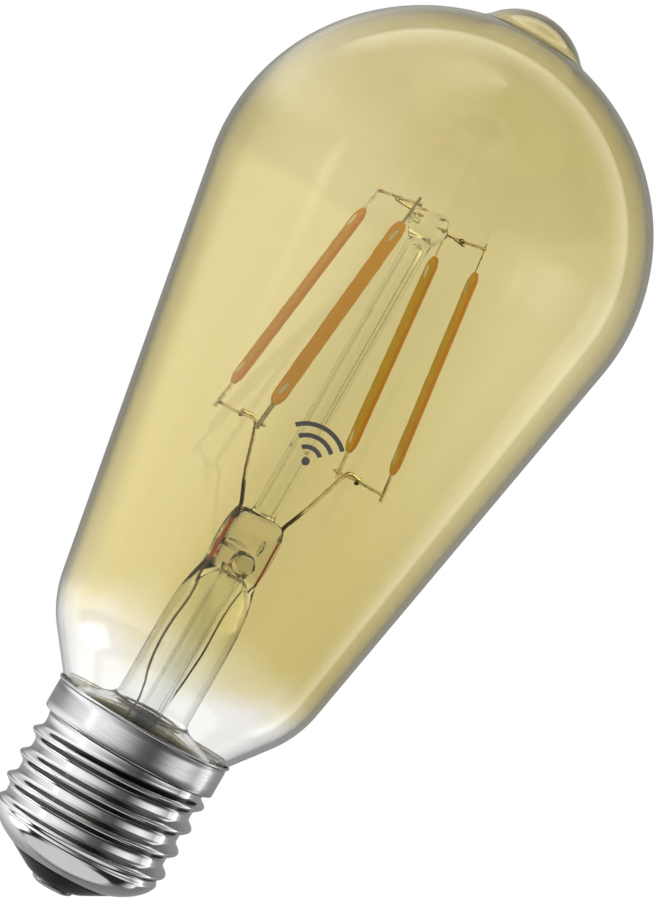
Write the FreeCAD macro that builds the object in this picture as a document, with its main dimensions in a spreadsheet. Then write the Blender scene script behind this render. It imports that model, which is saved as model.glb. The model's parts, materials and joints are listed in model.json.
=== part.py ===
"""Smart filament light bulb with an E27 screw cap.

The lamp stands on its centre contact: the origin is the middle of the contact's face and
+Z runs up the lamp's axis to the pip of the glass. The two pairs of filaments stand on
either side of the YZ plane, and all bent wires of the stem lie in the XZ plane.
"""
import FreeCAD, Part
import math
import os
from types import SimpleNamespace

import Sketcher

Vector = FreeCAD.Vector
Rotation = FreeCAD.Rotation
Placement = FreeCAD.Placement

AXIS_X = -1
AXIS_Y = -2
START = 1
END = 2
CENTRE = 3
ABOVE = Vector(0, 0, 1)

# name, number (millimetres, degrees or a count), what it measures
DIMENSIONS = [
    ("bulb_length", 140.0, "contact face to the top of the glass"),
    ("glass_radius", 32.0, "widest part of the glass"),
    ("glass_wall", 0.8, "thickness of the blown glass"),
    ("neck_radius", 12.4, "straight neck inside the cap"),
    ("neck_bottom", 22.3, "lower end of the neck"),
    ("neck_curve", 2.0, "hollow curve above the neck"),
    ("neck_curve_height", 25.0, "height where the hollow curve starts"),
    ("flare_angle", 37.6, "slope of the glass above the neck, from upright"),
    ("heel_curve", 16.5, "round between the flare and the cone"),
    ("cone_angle", 10.3, "slope of the long cone, from upright"),
    ("shoulder_curve", 30.0, "round at the widest part"),
    ("dome_radius", 32.4, "dome on top"),
    ("dome_centre", 104.2, "height of the dome's centre"),
    ("pip_fillet", 5.5, "hollow curve round the pip"),
    ("pip_radius", 9.5, "round top of the pip"),
    ("collar_radius", 13.25, "plain band at the top of the cap"),
    ("collar_top", 26.6, "top edge of the cap"),
    ("collar_bottom", 21.9, "step under the plain band"),
    ("lip_flare", 0.3, "how far the cap's edge is rolled out"),
    ("shell_wall", 0.3, "sheet metal of the cap"),
    ("thread_crest", 13.15, "radius over the thread"),
    ("thread_root", 12.05, "radius between the turns"),
    ("lip_depth", 0.7, "height of the rolled edge"),
    ("collar_step", 0.5, "height of the step under the collar"),
    ("thread_pitch", 3.629, "seven turns to the inch"),
    ("thread_start", 7.6, "height of the first crest"),
    ("thread_rise", 12.6, "first crest to last crest"),
    ("thread_width", 2.5, "foot of one turn"),
    ("thread_crown", 0.9, "top of one turn"),
    ("thread_sink", 0.2, "how deep a turn is rooted in the shell"),
    ("thread_phase", 182.0, "turns the thread's start round the axis"),
    ("bore_radius", 11.6, "inside of the cap behind the thread"),
    ("shoulder_radius", 12.8, "bottom edge of the threaded part"),
    ("shoulder_height", 7.4, "height of that edge"),
    ("shoulder_waist", 11.5, "bend in the shoulder below that edge"),
    ("shoulder_knee", 5.25, "height of that bend"),
    ("shoulder_round", 6.0, "curve at that bend"),
    ("shoulder_toe", 0.9, "round at the bottom edge of the threaded part"),
    ("thread_gap", 0.2, "that round to the foot of the thread"),
    ("insulator_radius", 8.1, "where the black cone leaves the shell"),
    ("insulator_height", 3.3, "height of that edge"),
    ("insulator_top", 5.2, "inner face of the black insulator"),
    ("insulator_foot", 3.5, "where the black cone meets the contact"),
    ("insulator_seat", 9.7, "inner edge of the black insulator"),
    ("contact_radius", 3.2, "centre contact"),
    ("contact_height", 0.9, "thickness of the centre contact"),
    ("contact_flat", 2.0, "flat face of the centre contact"),
    ("contact_round", 0.55, "rounded rim of the contact"),
    ("rivet_radius", 1.3, "hollow rivet of the centre contact"),
    ("rivet_bore", 0.5, "hole for the live wire"),
    ("rivet_top", 6.0, "upper end of the rivet"),
    ("cement_top", 25.0, "top of the cement ring"),
    ("cement_radius", 12.95, "cement ring, inside the collar"),
    ("tube_radius", 5.5, "straight tube of the stem"),
    ("tube_wall", 0.9, "thickness of that tube"),
    ("tube_bottom", 28.4, "where the tube starts to open out"),
    ("trumpet_curve", 1.6, "curve of the tube into the trumpet"),
    ("skirt_top", 26.2, "rim of the trumpet, where it turns down along the neck"),
    ("skirt_gap", 0.4, "trumpet's skirt to the neck"),
    ("skirt_wall", 0.7, "thickness of the trumpet and its skirt"),
    ("seal_height", 0.5, "fused joint of trumpet and neck"),
    ("tube_top", 43.0, "where the tube starts to flatten"),
    ("press_bottom", 50.0, "lower end of the flat pinch"),
    ("press_top", 59.5, "upper end of the flat pinch"),
    ("press_width", 4.95, "half width of the pinch"),
    ("press_depth", 1.75, "half depth of the pinch"),
    ("press_round", 1.5, "height of the pinch's rounded head"),
    ("press_narrow", 0.6, "how much narrower the head is"),
    ("press_thin", 0.5, "how much thinner the head is"),
    ("cavity_width", 3.45, "half width of the hollow's end"),
    ("cavity_depth", 0.85, "half depth of the hollow's end"),
    ("cavity_top", 50.6, "end of the hollow in the stem"),
    ("exhaust_radius", 1.7, "exhaust tube"),
    ("exhaust_bore", 1.0, "hole in the exhaust tube"),
    ("exhaust_top", 51.5, "upper end of the exhaust tube"),
    ("exhaust_tip", 18.7, "sealed lower end of the exhaust tube"),
    ("exhaust_seal", 0.8, "thickness of the melted tip"),
    ("exhaust_point", 0.935, "blunt end of the melted tip"),
    ("vent_height", 53.6, "blown hole in the pinch"),
    ("vent_radius", 0.75, "size of the blown hole"),
    ("column_radius", 1.7, "glass column that carries the frame"),
    ("column_bore", 0.9, "hollow of the column"),
    ("bead_radius", 2.9, "glass bead on the column"),
    ("bead_top", 108.4, "top of the bead"),
    ("bead_foot", 104.2, "where the column swells into the bead"),
    ("bead_low", 105.3, "lower edge of the bead"),
    ("bead_high", 107.5, "upper edge of the bead"),
    ("bead_low_round", 0.7, "round at the lower edge"),
    ("bead_high_round", 1.0, "round at the upper edge"),
    ("bead_flat", 1.02, "flat on top of the bead"),
    ("bore_end", 103.6, "sealed end of the column's hollow"),
    ("bore_taper", 0.6, "taper at that end"),
    ("support_start", 1.0, "inner end of the supports, off the axis"),
    ("support_past", 0.72, "support beyond the cross bar"),
    ("top_bar_height", 107.3, "upper cross bars"),
    ("top_bar_out", 6.6, "upper cross bars, off the axis"),
    ("top_weld", 5.0, "upper filament welds, along the bar"),
    ("low_bar_height", 70.3, "lower cross bars"),
    ("low_bar_out", 11.7, "lower cross bars, off the axis"),
    ("low_weld", 5.9, "lower filament welds, along the bar"),
    ("bar_radius", 0.225, "cross bar wire"),
    ("bar_overhang", 0.9, "cross bar beyond the welds"),
    ("lead_radius", 0.31, "nickel lead wire"),
    ("lead_out", 4.15, "leads in the pinch, off the axis"),
    ("lead_bend", 1.2, "bends of the leads"),
    ("dumet_radius", 0.2, "copper clad seal wire"),
    ("dumet_bottom", 50.4, "lower end of the seal wire"),
    ("dumet_top", 57.6, "upper end of the seal wire"),
    ("tail_radius", 0.14, "thin wires down to the cap"),
    ("tail_bend", 3.0, "bends of the thin wires"),
    ("tail_left", 1.25, "left thin wire on the board, inward of its lead"),
    ("tail_right", 2.0, "right thin wire on the board, inward of its lead"),
    ("tail_foot", 1.5, "first bend of the right thin wire, under the tube's foot"),
    ("low_wave", 0.38, "lower bend of the thin wires, as a share of the tube"),
    ("high_wave", 0.76, "upper bend of the thin wires, as a share of the tube"),
    ("low_inward", 1.1, "right thin wire at the lower bend, inward of its lead"),
    ("high_inward", 1.4, "right thin wire at the upper bend, inward of its lead"),
    ("left_inward", 0.28, "left thin wire at the upper bend, inward of its lead"),
    ("left_drop", 1.4, "last bend of the left thin wire, under the pinch"),
    ("right_drop", 1.0, "last bend of the right thin wire, under the pinch"),
    ("filament_length", 31.0, "coated part of a filament"),
    ("filament_width", 2.0, "coated part of a filament"),
    ("filament_depth", 1.1, "coated part of a filament"),
    ("coating_taper", 1.6, "tapered end of the coating"),
    ("coating_round", 1.5, "rounded corner of the taper"),
    ("coating_tip", 0.5, "half width of the coating's end"),
    ("filament_start", 3.1, "lower weld to the coating"),
    ("core_width", 0.9, "chip carrier in the coating"),
    ("core_depth", 0.36, "chip carrier in the coating"),
    ("terminal_depth", 0.25, "end strips"),
    ("low_terminal", 0.65, "width of the lower end strip"),
    ("top_terminal", 0.4, "width of the upper end strip"),
    ("terminal_grip", 1.2, "end strip inside the coating"),
    ("terminal_past", 0.9, "end strip beyond its weld"),
    ("sleeve_radius", 11.5, "insulating sleeve in the cap"),
    ("sleeve_wall", 0.4, "insulating sleeve"),
    ("sleeve_bottom", 7.6, "insulating sleeve"),
    ("sleeve_top", 21.4, "insulating sleeve"),
    ("board_width", 20.0, "driver board"),
    ("board_bottom", 7.8, "driver board"),
    ("board_height", 10.2, "driver board"),
    ("board_thickness", 1.0, "driver board"),
    ("solder_height", 0.3, "solder joints on the board's edge"),
    ("solder_foot", 0.6, "solder joint at the board"),
    ("solder_tip", 0.3, "solder joint at the wire"),
    ("capacitor_radius", 3.15, "bulk capacitor"),
    ("capacitor_height", 8.5, "bulk capacitor"),
    ("capacitor_round", 0.4, "rounded rims of the capacitor"),
    ("inductor_radius", 3.0, "power inductor"),
    ("inductor_waist", 1.6, "core under the winding"),
    ("inductor_height", 6.5, "power inductor"),
    ("winding_radius", 2.7, "copper winding"),
    ("part_side", 5.2, "capacitor and inductor, off the axis"),
    ("part_lift", 7.4, "lower face of the tall parts"),
    ("part_gap", 0.1, "tall parts to the board"),
    ("resistor_radius", 1.2, "fusible resistor"),
    ("resistor_height", 6.4, "fusible resistor"),
    ("radio_width", 12.0, "radio board"),
    ("radio_height", 11.6, "radio board"),
    ("radio_gap", 5.0, "driver board to radio board"),
    ("shield_width", 9.0, "radio shield can"),
    ("shield_height", 6.0, "radio shield can"),
    ("shield_depth", 1.6, "radio shield can"),
    ("chip_low", 9.0, "lower edge of the rectifier and the driver chip"),
    ("chip_depth", 1.5, "rectifier and driver chip"),
    ("rectifier_side", 5.0, "rectifier, off the axis"),
    ("rectifier_width", 4.7, "rectifier"),
    ("rectifier_height", 3.9, "rectifier"),
    ("chip_side", 4.6, "driver chip, off the axis"),
    ("chip_width", 5.0, "driver chip"),
    ("chip_height", 4.0, "driver chip"),
    ("resistor_front", 7.4, "fusible resistor, in front of the axis"),
    ("flange_height", 0.9, "flanges of the inductor's core"),
    ("groove_height", 1.5, "rolled groove of the capacitor"),
    ("groove_width", 0.4, "half the rolled groove"),
    ("groove_depth", 0.25, "rolled groove"),
    ("radio_thickness", 0.8, "radio board"),
    ("shield_lift", 0.8, "shield can above the board's foot"),
    ("trace_depth", 0.1, "antenna on the radio board"),
    ("trace_width", 0.5, "one bar of the antenna"),
    ("trace_height", 3.2, "one bar of the antenna"),
    ("trace_pitch", 2.2, "bar to bar"),
    ("trace_gap", 0.6, "shield can to the antenna"),
    ("pin_width", 0.5, "pins between the two boards"),
    ("pin_pitch", 1.3, "pin to pin"),
    ("pin_lift", 0.5, "pins above the board's foot"),
    ("wire_radius", 0.28, "mains wires in the cap"),
    ("live_side", 1.6, "live wire on the board, off the axis"),
    ("live_step", 1.0, "slope of the live wire"),
    ("neutral_foot", 8.0, "lower end of the neutral wire"),
    ("neutral_side", 8.6, "neutral wire on the board, off the axis"),
    ("neutral_edge", 10.6, "neutral wire at the shell, off the axis"),
    ("neutral_bend", 19.4, "height where it leaves the board"),
    ("neutral_top", 21.3, "upper end of the neutral wire"),
    ("antenna_back", 6.4, "antenna wire on the radio board, behind the axis"),
    ("antenna_in", 2.6, "antenna wire in the stem, behind the axis"),
    ("antenna_bend", 20.6, "height where it turns into the stem"),
    ("antenna_lift", 1.6, "how far it climbs on the way in"),
    ("antenna_top", 28.9, "upper end of the antenna wire"),
    ("wire_gap", 0.05, "neutral wire to the board"),
]


class Size:
    """A length: its number now, and the sheet formula that FreeCAD keeps it by."""

    def __init__(self, number, formula):
        self.number = number
        self.formula = formula

    def joined(self, other, sign, number):
        return Size(number, "(%s %s %s)" % (self.formula, sign, other.formula))

    def __add__(self, other):
        other = sized(other)
        return self.joined(other, "+", self.number + other.number)

    def __sub__(self, other):
        other = sized(other)
        return self.joined(other, "-", self.number - other.number)

    def __mul__(self, other):
        other = sized(other)
        return self.joined(other, "*", self.number * other.number)

    def __truediv__(self, other):
        other = sized(other)
        return self.joined(other, "/", self.number / other.number)

    def __neg__(self):
        return self * -1

    def __rsub__(self, other):
        return sized(other) - self

    __radd__ = __add__
    __rmul__ = __mul__


def sized(value):
    return value if isinstance(value, Size) else Size(float(value), repr(float(value)))


doc = FreeCAD.newDocument("SmartLightBulb")
sheet = doc.addObject("Spreadsheet::Sheet", "Sizes")
for row, (name, number, meaning) in enumerate(DIMENSIONS, start=1):
    sheet.set("A%d" % row, str(number))
    sheet.setAlias("A%d" % row, name)
    sheet.set("B%d" % row, meaning)
doc.recompute()
d = SimpleNamespace(**{name: Size(number, "Sizes." + name) for name, number, _ in DIMENSIONS})

pieces = []


def kept(piece, label):
    """Name a sub-part; its Label is also the name of its file."""
    piece.Label = label
    pieces.append(piece)
    return piece


def bind(thing, path, value):
    thing.setExpression(path, sized(value).formula)


# ---------------------------------------------------------------- sketches

def origin_plane(body, role):
    return next(plane for plane in body.Origin.OriginFeatures if plane.Role == role)


def new_sketch(body, role, name, lift=None):
    """A sketch on one of the body's own origin planes, or lifted off it."""
    sketch = body.newObject("Sketcher::SketchObject", name)
    sketch.AttachmentSupport = [(origin_plane(body, role), "")]
    sketch.MapMode = "FlatFace"
    if lift is not None:
        sketch.AttachmentOffset = Placement(ABOVE * lift.number, Rotation())
        bind(sketch, "AttachmentOffset.Base.z", lift)
    return sketch


def measured(sketch, kind, *where, size):
    """Add a dimension to a sketch and tie it to its formula."""
    size = sized(size)
    number = math.radians(size.number) if kind == "Angle" else size.number
    index = sketch.addConstraint(Sketcher.Constraint(kind, *where, number))
    bind(sketch, "Constraints[%d]" % index, size)


def locate(sketch, item, point, across, up):
    """Dimension a point from the sketch's two axes."""
    for kind, axis, size in (("DistanceX", AXIS_Y, across), ("DistanceY", AXIS_X, up)):
        if sized(size).number == 0:
            sketch.addConstraint(Sketcher.Constraint("PointOnObject", item, point, axis))
        else:
            measured(sketch, kind, AXIS_X, START, item, point, size=size)


def corner_round(before, corner, after, radius):
    """The tangent arc in a corner: where it starts and ends, its centre, and its sense."""
    into = (corner - before).normalize()
    out = (after - corner).normalize()
    turn = into.getAngle(out)
    reach = radius * math.tan(turn / 2)
    leftward = into.cross(out).z > 0
    side = Vector(-into.y, into.x, 0) * (radius if leftward else -radius)
    start = corner - into * reach
    return start, corner + out * reach, start + side, leftward


def arc_between(centre, radius, first, last):
    angles = [math.atan2(point.y - centre.y, point.x - centre.x) for point in (first, last)]
    return Part.ArcOfCircle(Part.Circle(centre, ABOVE, radius), *angles)


def draw_path(sketch, corners, closed):
    """Draw straight runs through (across, up) corners; a third value rounds the corner."""
    spots = [Vector(sized(c[0]).number, sized(c[1]).number, 0) for c in corners]
    count = len(spots)
    rounds = {}
    for i, corner in enumerate(corners):
        if len(corner) == 3:
            rounds[i] = corner_round(spots[i - 1], spots[i], spots[(i + 1) % count],
                                     sized(corner[2]).number)
    lines = []
    for i in range(count if closed else count - 1):
        start = rounds[i][1] if i in rounds else spots[i]
        following = (i + 1) % count
        end = rounds[following][0] if following in rounds else spots[following]
        lines.append(sketch.addGeometry(Part.LineSegment(start, end)))
    for i, corner in enumerate(corners):
        arriving = lines[i - 1] if closed or i > 0 else None
        leaving = lines[i] if i < len(lines) else None
        if i in rounds:
            round_corner(sketch, arriving, leaving, rounds[i], corner)
            continue
        if arriving is not None and leaving is not None:
            sketch.addConstraint(Sketcher.Constraint("Coincident", arriving, END, leaving, START))
        if leaving is not None:
            locate(sketch, leaving, START, corner[0], corner[1])
        else:
            locate(sketch, arriving, END, corner[0], corner[1])


def round_corner(sketch, arriving, leaving, shape, corner):
    """Put a tangent arc between two runs, and keep the sharp corner as a helping point."""
    start, end, centre, leftward = shape
    ends = (start, end) if leftward else (end, start)
    radius = sized(corner[2])
    arc = sketch.addGeometry(arc_between(centre, radius.number, *ends))
    enter, leave = (START, END) if leftward else (END, START)
    sketch.addConstraint(Sketcher.Constraint("Tangent", arriving, END, arc, enter))
    sketch.addConstraint(Sketcher.Constraint("Tangent", arc, leave, leaving, START))
    measured(sketch, "Radius", arc, size=radius)
    spot = Vector(sized(corner[0]).number, sized(corner[1]).number, 0)
    helper = sketch.addGeometry(Part.Point(spot), True)
    sketch.addConstraint(Sketcher.Constraint("PointOnObject", helper, START, arriving))
    sketch.addConstraint(Sketcher.Constraint("PointOnObject", helper, START, leaving))
    locate(sketch, helper, START, corner[0], corner[1])


# ---------------------------------------------------------------- ways of making a piece

def new_body(label):
    return kept(doc.addObject("PartDesign::Body", "Body"), label)


def turn_feature(body, kind, corners):
    """Revolve (or groove) a closed section of radius and height about the upright axis."""
    sketch = new_sketch(body, "XZ_Plane", kind + "Section")
    draw_path(sketch, corners, closed=True)
    feature = body.newObject("PartDesign::" + kind, kind)
    feature.Profile = sketch
    feature.ReferenceAxis = (sketch, ["V_Axis"])
    feature.Angle = 360
    return feature


def turned(label, corners):
    body = new_body(label)
    turn_feature(body, "Revolution", corners)
    return body


def tube_section(inner, outer, bottom, top):
    return [(inner, bottom), (outer, bottom), (outer, top), (inner, top)]


def bent_wire(label, corners, radius, role="XZ_Plane", off=0):
    """A round wire along a flat path that sets out upright, this far off the role's plane."""
    body = new_body(label)
    upright = role == "XZ_Plane"
    path = new_sketch(body, role, "Path", sized(off) * (-1 if upright else 1))
    draw_path(path, corners, closed=False)
    section = new_sketch(body, "XY_Plane", "Section", sized(corners[0][1]))
    circle = section.addGeometry(Part.Circle(Vector(0, 0, 0), ABOVE, radius.number))
    spot = (corners[0][0], off) if upright else (off, corners[0][0])
    locate(section, circle, CENTRE, *spot)
    measured(section, "Radius", circle, size=radius)
    pipe = body.newObject("PartDesign::AdditivePipe", "Pipe")
    pipe.Profile = section
    pipe.Spine = (path, [])
    return body


def placed(piece, x, y, z):
    """Put a primitive at sheet-driven coordinates."""
    for axis, value in zip("xyz", (x, y, z)):
        bind(piece, "Placement.Base." + axis, value)
    return piece


def block(x, y, z, width, depth, height, name="Block"):
    """A box centred on x, with its near face at y and its lower face at z."""
    box = doc.addObject("Part::Box", name)
    for side, value in zip(("Length", "Width", "Height"), (width, depth, height)):
        bind(box, side, value)
    return placed(box, sized(x) - sized(width) / 2, y, z)


def rod(x, y, z, radius, height, name="Rod"):
    cylinder = doc.addObject("Part::Cylinder", name)
    bind(cylinder, "Radius", radius)
    bind(cylinder, "Height", height)
    return placed(cylinder, x, y, z)


def group(label, members):
    """Identical or joined-up solids that share one node."""
    compound = doc.addObject("Part::Compound", "Group")
    compound.Links = members
    return kept(compound, label)


def cut(label, base, tools):
    """A piece with the room for its neighbours taken out of it."""
    tool = tools[0]
    if len(tools) > 1:
        tool = doc.addObject("Part::MultiFuse", "Room")
        tool.Shapes = tools
    result = doc.addObject("Part::Cut", "Cut")
    result.Base = base
    result.Tool = tool
    return kept(result, label)


# ---------------------------------------------------------------- glass envelope

def glass_numbers(inset):
    """Where the arcs of the glass outline lie, for a skin this far inside the outer one."""
    flare = math.radians(d.flare_angle.number)
    cone = math.radians(d.cone_angle.number)
    neck = d.neck_radius.number
    across = {"flare": Vector(math.cos(flare), -math.sin(flare), 0),
              "cone": Vector(math.cos(cone), -math.sin(cone), 0)}
    hollow = Vector(neck + d.neck_curve.number, d.neck_curve_height.number, 0)
    dome = Vector(0, d.dome_centre.number, 0)
    pip = Vector(0, d.bulb_length.number - d.pip_radius.number, 0)
    side = d.glass_radius.number - d.shoulder_curve.number
    rise = math.sqrt((d.dome_radius.number - d.shoulder_curve.number) ** 2 - side ** 2)
    shoulder = Vector(side, dome.y + rise, 0)
    heel_radius = d.heel_curve.number
    to_flare = (hollow - across["flare"] * d.neck_curve.number).dot(across["flare"]) - heel_radius
    to_cone = shoulder.dot(across["cone"]) + d.shoulder_curve.number - heel_radius
    first, second = across["flare"], across["cone"]
    spread = first.x * second.y - first.y * second.x
    heel = Vector((to_flare * second.y - to_cone * first.y) / spread,
                  (first.x * to_cone - second.x * to_flare) / spread, 0)
    dome_reach = d.dome_radius.number + d.pip_fillet.number
    pip_reach = d.pip_radius.number + d.pip_fillet.number
    apart = pip.y - dome.y
    lift = (dome_reach ** 2 - pip_reach ** 2 + apart ** 2) / (2 * apart)
    fillet = Vector(math.sqrt(dome_reach ** 2 - lift ** 2), dome.y + lift, 0)
    radii = {"hollow": d.neck_curve.number + inset, "heel": heel_radius - inset,
             "shoulder": d.shoulder_curve.number - inset, "dome": d.dome_radius.number - inset,
             "fillet": d.pip_fillet.number + inset, "pip": d.pip_radius.number - inset}
    centres = {"hollow": hollow, "heel": heel, "shoulder": shoulder, "dome": dome,
               "fillet": fillet, "pip": pip}
    return centres, radii, across


def glass_skin(sketch, inset):
    """One skin of the glass, from the neck to the pip, as tangent runs and arcs."""
    centres, radii, across = glass_numbers(sized(inset).number)

    def spot(arc, direction):
        return centres[arc] + direction * radii[arc]

    toward_dome = (centres["shoulder"] - centres["dome"]).normalize()
    toward_fillet = (centres["fillet"] - centres["dome"]).normalize()
    toward_pip = (centres["pip"] - centres["fillet"]).normalize()
    flare, cone = across["flare"], across["cone"]
    stops = {
        "hollow": (spot("hollow", Vector(-1, 0, 0)), spot("hollow", -flare)),
        "heel": (spot("heel", flare), spot("heel", cone)),
        "shoulder": (spot("shoulder", cone), spot("shoulder", toward_dome)),
        "dome": (spot("dome", toward_dome), spot("dome", toward_fillet)),
        "fillet": (spot("fillet", -toward_fillet), spot("fillet", toward_pip)),
        "pip": (spot("pip", -toward_pip), spot("pip", Vector(0, 1, 0))),
    }
    foot = Vector(stops["hollow"][0].x, d.neck_bottom.number, 0)
    runs = {"neck": (foot, stops["hollow"][0]), "flare": (stops["hollow"][1], stops["heel"][0]),
            "cone": (stops["heel"][1], stops["shoulder"][0])}
    order = ["neck", "hollow", "flare", "heel", "cone", "shoulder", "dome", "fillet", "pip"]
    drawn = {}
    for name in order:
        if name in runs:
            item = sketch.addGeometry(Part.LineSegment(*runs[name]))
            drawn[name] = (item, START, END)
            continue
        clockwise = name in ("hollow", "fillet")
        ends = stops[name][::-1] if clockwise else stops[name]
        item = sketch.addGeometry(arc_between(centres[name], radii[name], *ends))
        drawn[name] = (item, END, START) if clockwise else (item, START, END)
    for before, after in zip(order, order[1:]):
        first, _, leave = drawn[before]
        second, enter, _ = drawn[after]
        sketch.addConstraint(Sketcher.Constraint("Tangent", first, leave, second, enter))
    outward = {"hollow": inset, "fillet": inset}
    for name, size in (("hollow", d.neck_curve), ("heel", d.heel_curve),
                       ("shoulder", d.shoulder_curve), ("dome", d.dome_radius),
                       ("fillet", d.pip_fillet), ("pip", d.pip_radius)):
        measured(sketch, "Radius", drawn[name][0], size=size + outward.get(name, -sized(inset)))
    item = {name: drawn[name][0] for name in order}
    sketch.addConstraint(Sketcher.Constraint("Vertical", item["neck"]))
    locate(sketch, item["neck"], START, d.neck_radius - inset, d.neck_bottom)
    measured(sketch, "DistanceY", AXIS_X, START, item["hollow"], CENTRE, size=d.neck_curve_height)
    measured(sketch, "Angle", item["flare"], size=sized(90) - d.flare_angle)
    measured(sketch, "Angle", item["cone"], size=sized(90) - d.cone_angle)
    measured(sketch, "DistanceX", AXIS_X, START, item["shoulder"], CENTRE,
             size=d.glass_radius - d.shoulder_curve)
    locate(sketch, item["dome"], CENTRE, 0, d.dome_centre)
    locate(sketch, item["pip"], CENTRE, 0, d.bulb_length - d.pip_radius)
    sketch.addConstraint(Sketcher.Constraint("PointOnObject", item["pip"], END, AXIS_Y))
    return item["neck"], foot, item["pip"], stops["pip"][1]


def make_glass():
    body = new_body("glass_envelope")
    sketch = new_sketch(body, "XZ_Plane", "GlassSection")
    outer_neck, outer_foot, outer_pip, outer_top = glass_skin(sketch, 0)
    inner_neck, inner_foot, inner_pip, inner_top = glass_skin(sketch, d.glass_wall)
    for first, last, one, one_end, other, other_end in (
            (outer_foot, inner_foot, outer_neck, START, inner_neck, START),
            (outer_top, inner_top, outer_pip, END, inner_pip, END)):
        rim = sketch.addGeometry(Part.LineSegment(first, last))
        sketch.addConstraint(Sketcher.Constraint("Coincident", rim, START, one, one_end))
        sketch.addConstraint(Sketcher.Constraint("Coincident", rim, END, other, other_end))
    blown = body.newObject("PartDesign::Revolution", "Blown")
    blown.Profile = sketch
    blown.ReferenceAxis = (sketch, ["V_Axis"])
    blown.Angle = 360


# ---------------------------------------------------------------- screw cap

def make_screw_shell():
    """The sheet metal shell: plain collar, rolled thread, and the shoulder at the bottom."""
    wall = d.shell_wall
    toe = d.shoulder_toe
    body = turned("screw_shell", [
        (d.insulator_radius, d.insulator_height),
        (d.shoulder_waist, d.shoulder_knee, d.shoulder_round),
        (d.shoulder_radius, d.shoulder_height, toe),
        (d.thread_root, d.shoulder_height + toe + d.thread_gap),
        (d.thread_root, d.collar_bottom - d.collar_step),
        (d.collar_radius, d.collar_bottom),
        (d.collar_radius, d.collar_top - d.lip_depth),
        (d.collar_radius + d.lip_flare, d.collar_top),
        (d.collar_radius + d.lip_flare - wall, d.collar_top),
        (d.collar_radius - wall, d.collar_top - d.lip_depth),
        (d.collar_radius - wall, d.collar_bottom),
        (d.bore_radius, d.collar_bottom - d.collar_step),
        (d.bore_radius, d.shoulder_height - toe, toe - 0.1),
        (d.bore_radius - wall * 1.8, d.shoulder_knee + 0.1, d.shoulder_round / 2),
        (d.insulator_radius, d.insulator_height + wall),
    ])
    section = new_sketch(body, "XZ_Plane", "ThreadSection")
    foot = d.thread_root - d.thread_sink
    low = d.thread_start - d.thread_width / 2
    crown_low = d.thread_start - d.thread_crown / 2
    draw_path(section, [
        (foot, low),
        (d.thread_crest, crown_low),
        (d.thread_crest, crown_low + d.thread_crown),
        (foot, low + d.thread_width),
    ], closed=True)
    thread = body.newObject("PartDesign::AdditiveHelix", "Thread")
    thread.Profile = section
    thread.ReferenceAxis = (section, ["V_Axis"])
    thread.Mode = "pitch-height-angle"
    thread.LeftHanded = False
    bind(thread, "Pitch", d.thread_pitch)
    bind(thread, "Height", d.thread_rise)
    body.Placement = Placement(Vector(0, 0, 0), Rotation(ABOVE, d.thread_phase.number))


def make_cap_bottom():
    seat = d.insulator_height + d.shell_wall
    turned("cap_insulator", [
        (d.rivet_radius, d.contact_height),
        (d.insulator_foot, d.contact_height),
        (d.insulator_radius, d.insulator_height),
        (d.insulator_radius, seat),
        (d.insulator_seat, d.insulator_top),
        (d.rivet_radius, d.insulator_top),
    ])
    turned("centre_contact", [
        (0, 0),
        (d.contact_flat, 0),
        (d.contact_radius, 0, d.contact_round),
        (d.contact_radius, d.contact_height),
        (0, d.contact_height),
    ])
    turned("contact_rivet", tube_section(d.rivet_bore, d.rivet_radius, d.contact_height,
                                         d.rivet_top))
    turned("cap_cement", tube_section(d.neck_radius, d.cement_radius, d.neck_bottom,
                                      d.cement_top))


# ---------------------------------------------------------------- stem and leads

SIDES = (("left", -1), ("right", 1))


def make_leads():
    """For each side: the stout lead, the seal wire in the glass, and the thin tail."""
    weld_height = d.low_bar_height + d.bar_radius + d.lead_radius
    made = []
    for side, sign in SIDES:
        def across(value):
            return sized(value) * sign

        made.append(bent_wire("upper_lead_" + side, [
            (across(d.lead_out), d.dumet_top),
            (across(d.lead_out), d.press_top + d.lead_bend / 2, d.lead_bend),
            (across(d.low_bar_out - d.lead_bend * 2), weld_height, d.lead_bend),
            (across(d.low_bar_out + d.lead_radius), weld_height),
        ], d.lead_radius))
        seal = rod(across(d.lead_out), 0, d.dumet_bottom, d.dumet_radius,
                   d.dumet_top - d.dumet_bottom, "Seal")
        made.append(kept(seal, "dumet_seal_" + side))
    foot = d.board_bottom + d.board_height + d.solder_height
    tube_run = d.press_bottom - d.tube_bottom
    low_wave = d.tube_bottom + tube_run * d.low_wave
    high_wave = d.tube_bottom + tube_run * d.high_wave
    made.append(bent_wire("lower_lead_left", [
        (d.tail_left - d.lead_out, foot),
        (d.tail_left - d.lead_out, d.tube_bottom, d.tail_bend),
        (-d.lead_out, low_wave, d.tail_bend),
        (d.left_inward - d.lead_out, high_wave, d.tail_bend),
        (-d.lead_out, d.press_bottom - d.left_drop, d.tail_bend),
        (-d.lead_out, d.dumet_bottom),
    ], d.tail_radius))
    made.append(bent_wire("lower_lead_right", [
        (d.lead_out - d.tail_right, foot),
        (d.lead_out - d.tail_right, d.tube_bottom - d.tail_foot, d.tail_bend),
        (d.lead_out - d.low_inward, low_wave, d.tail_bend),
        (d.lead_out - d.high_inward, high_wave, d.tail_bend),
        (d.lead_out, d.press_bottom - d.right_drop, d.tail_bend * 0.6),
        (d.lead_out, d.dumet_bottom),
    ], d.tail_radius))
    return made


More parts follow.
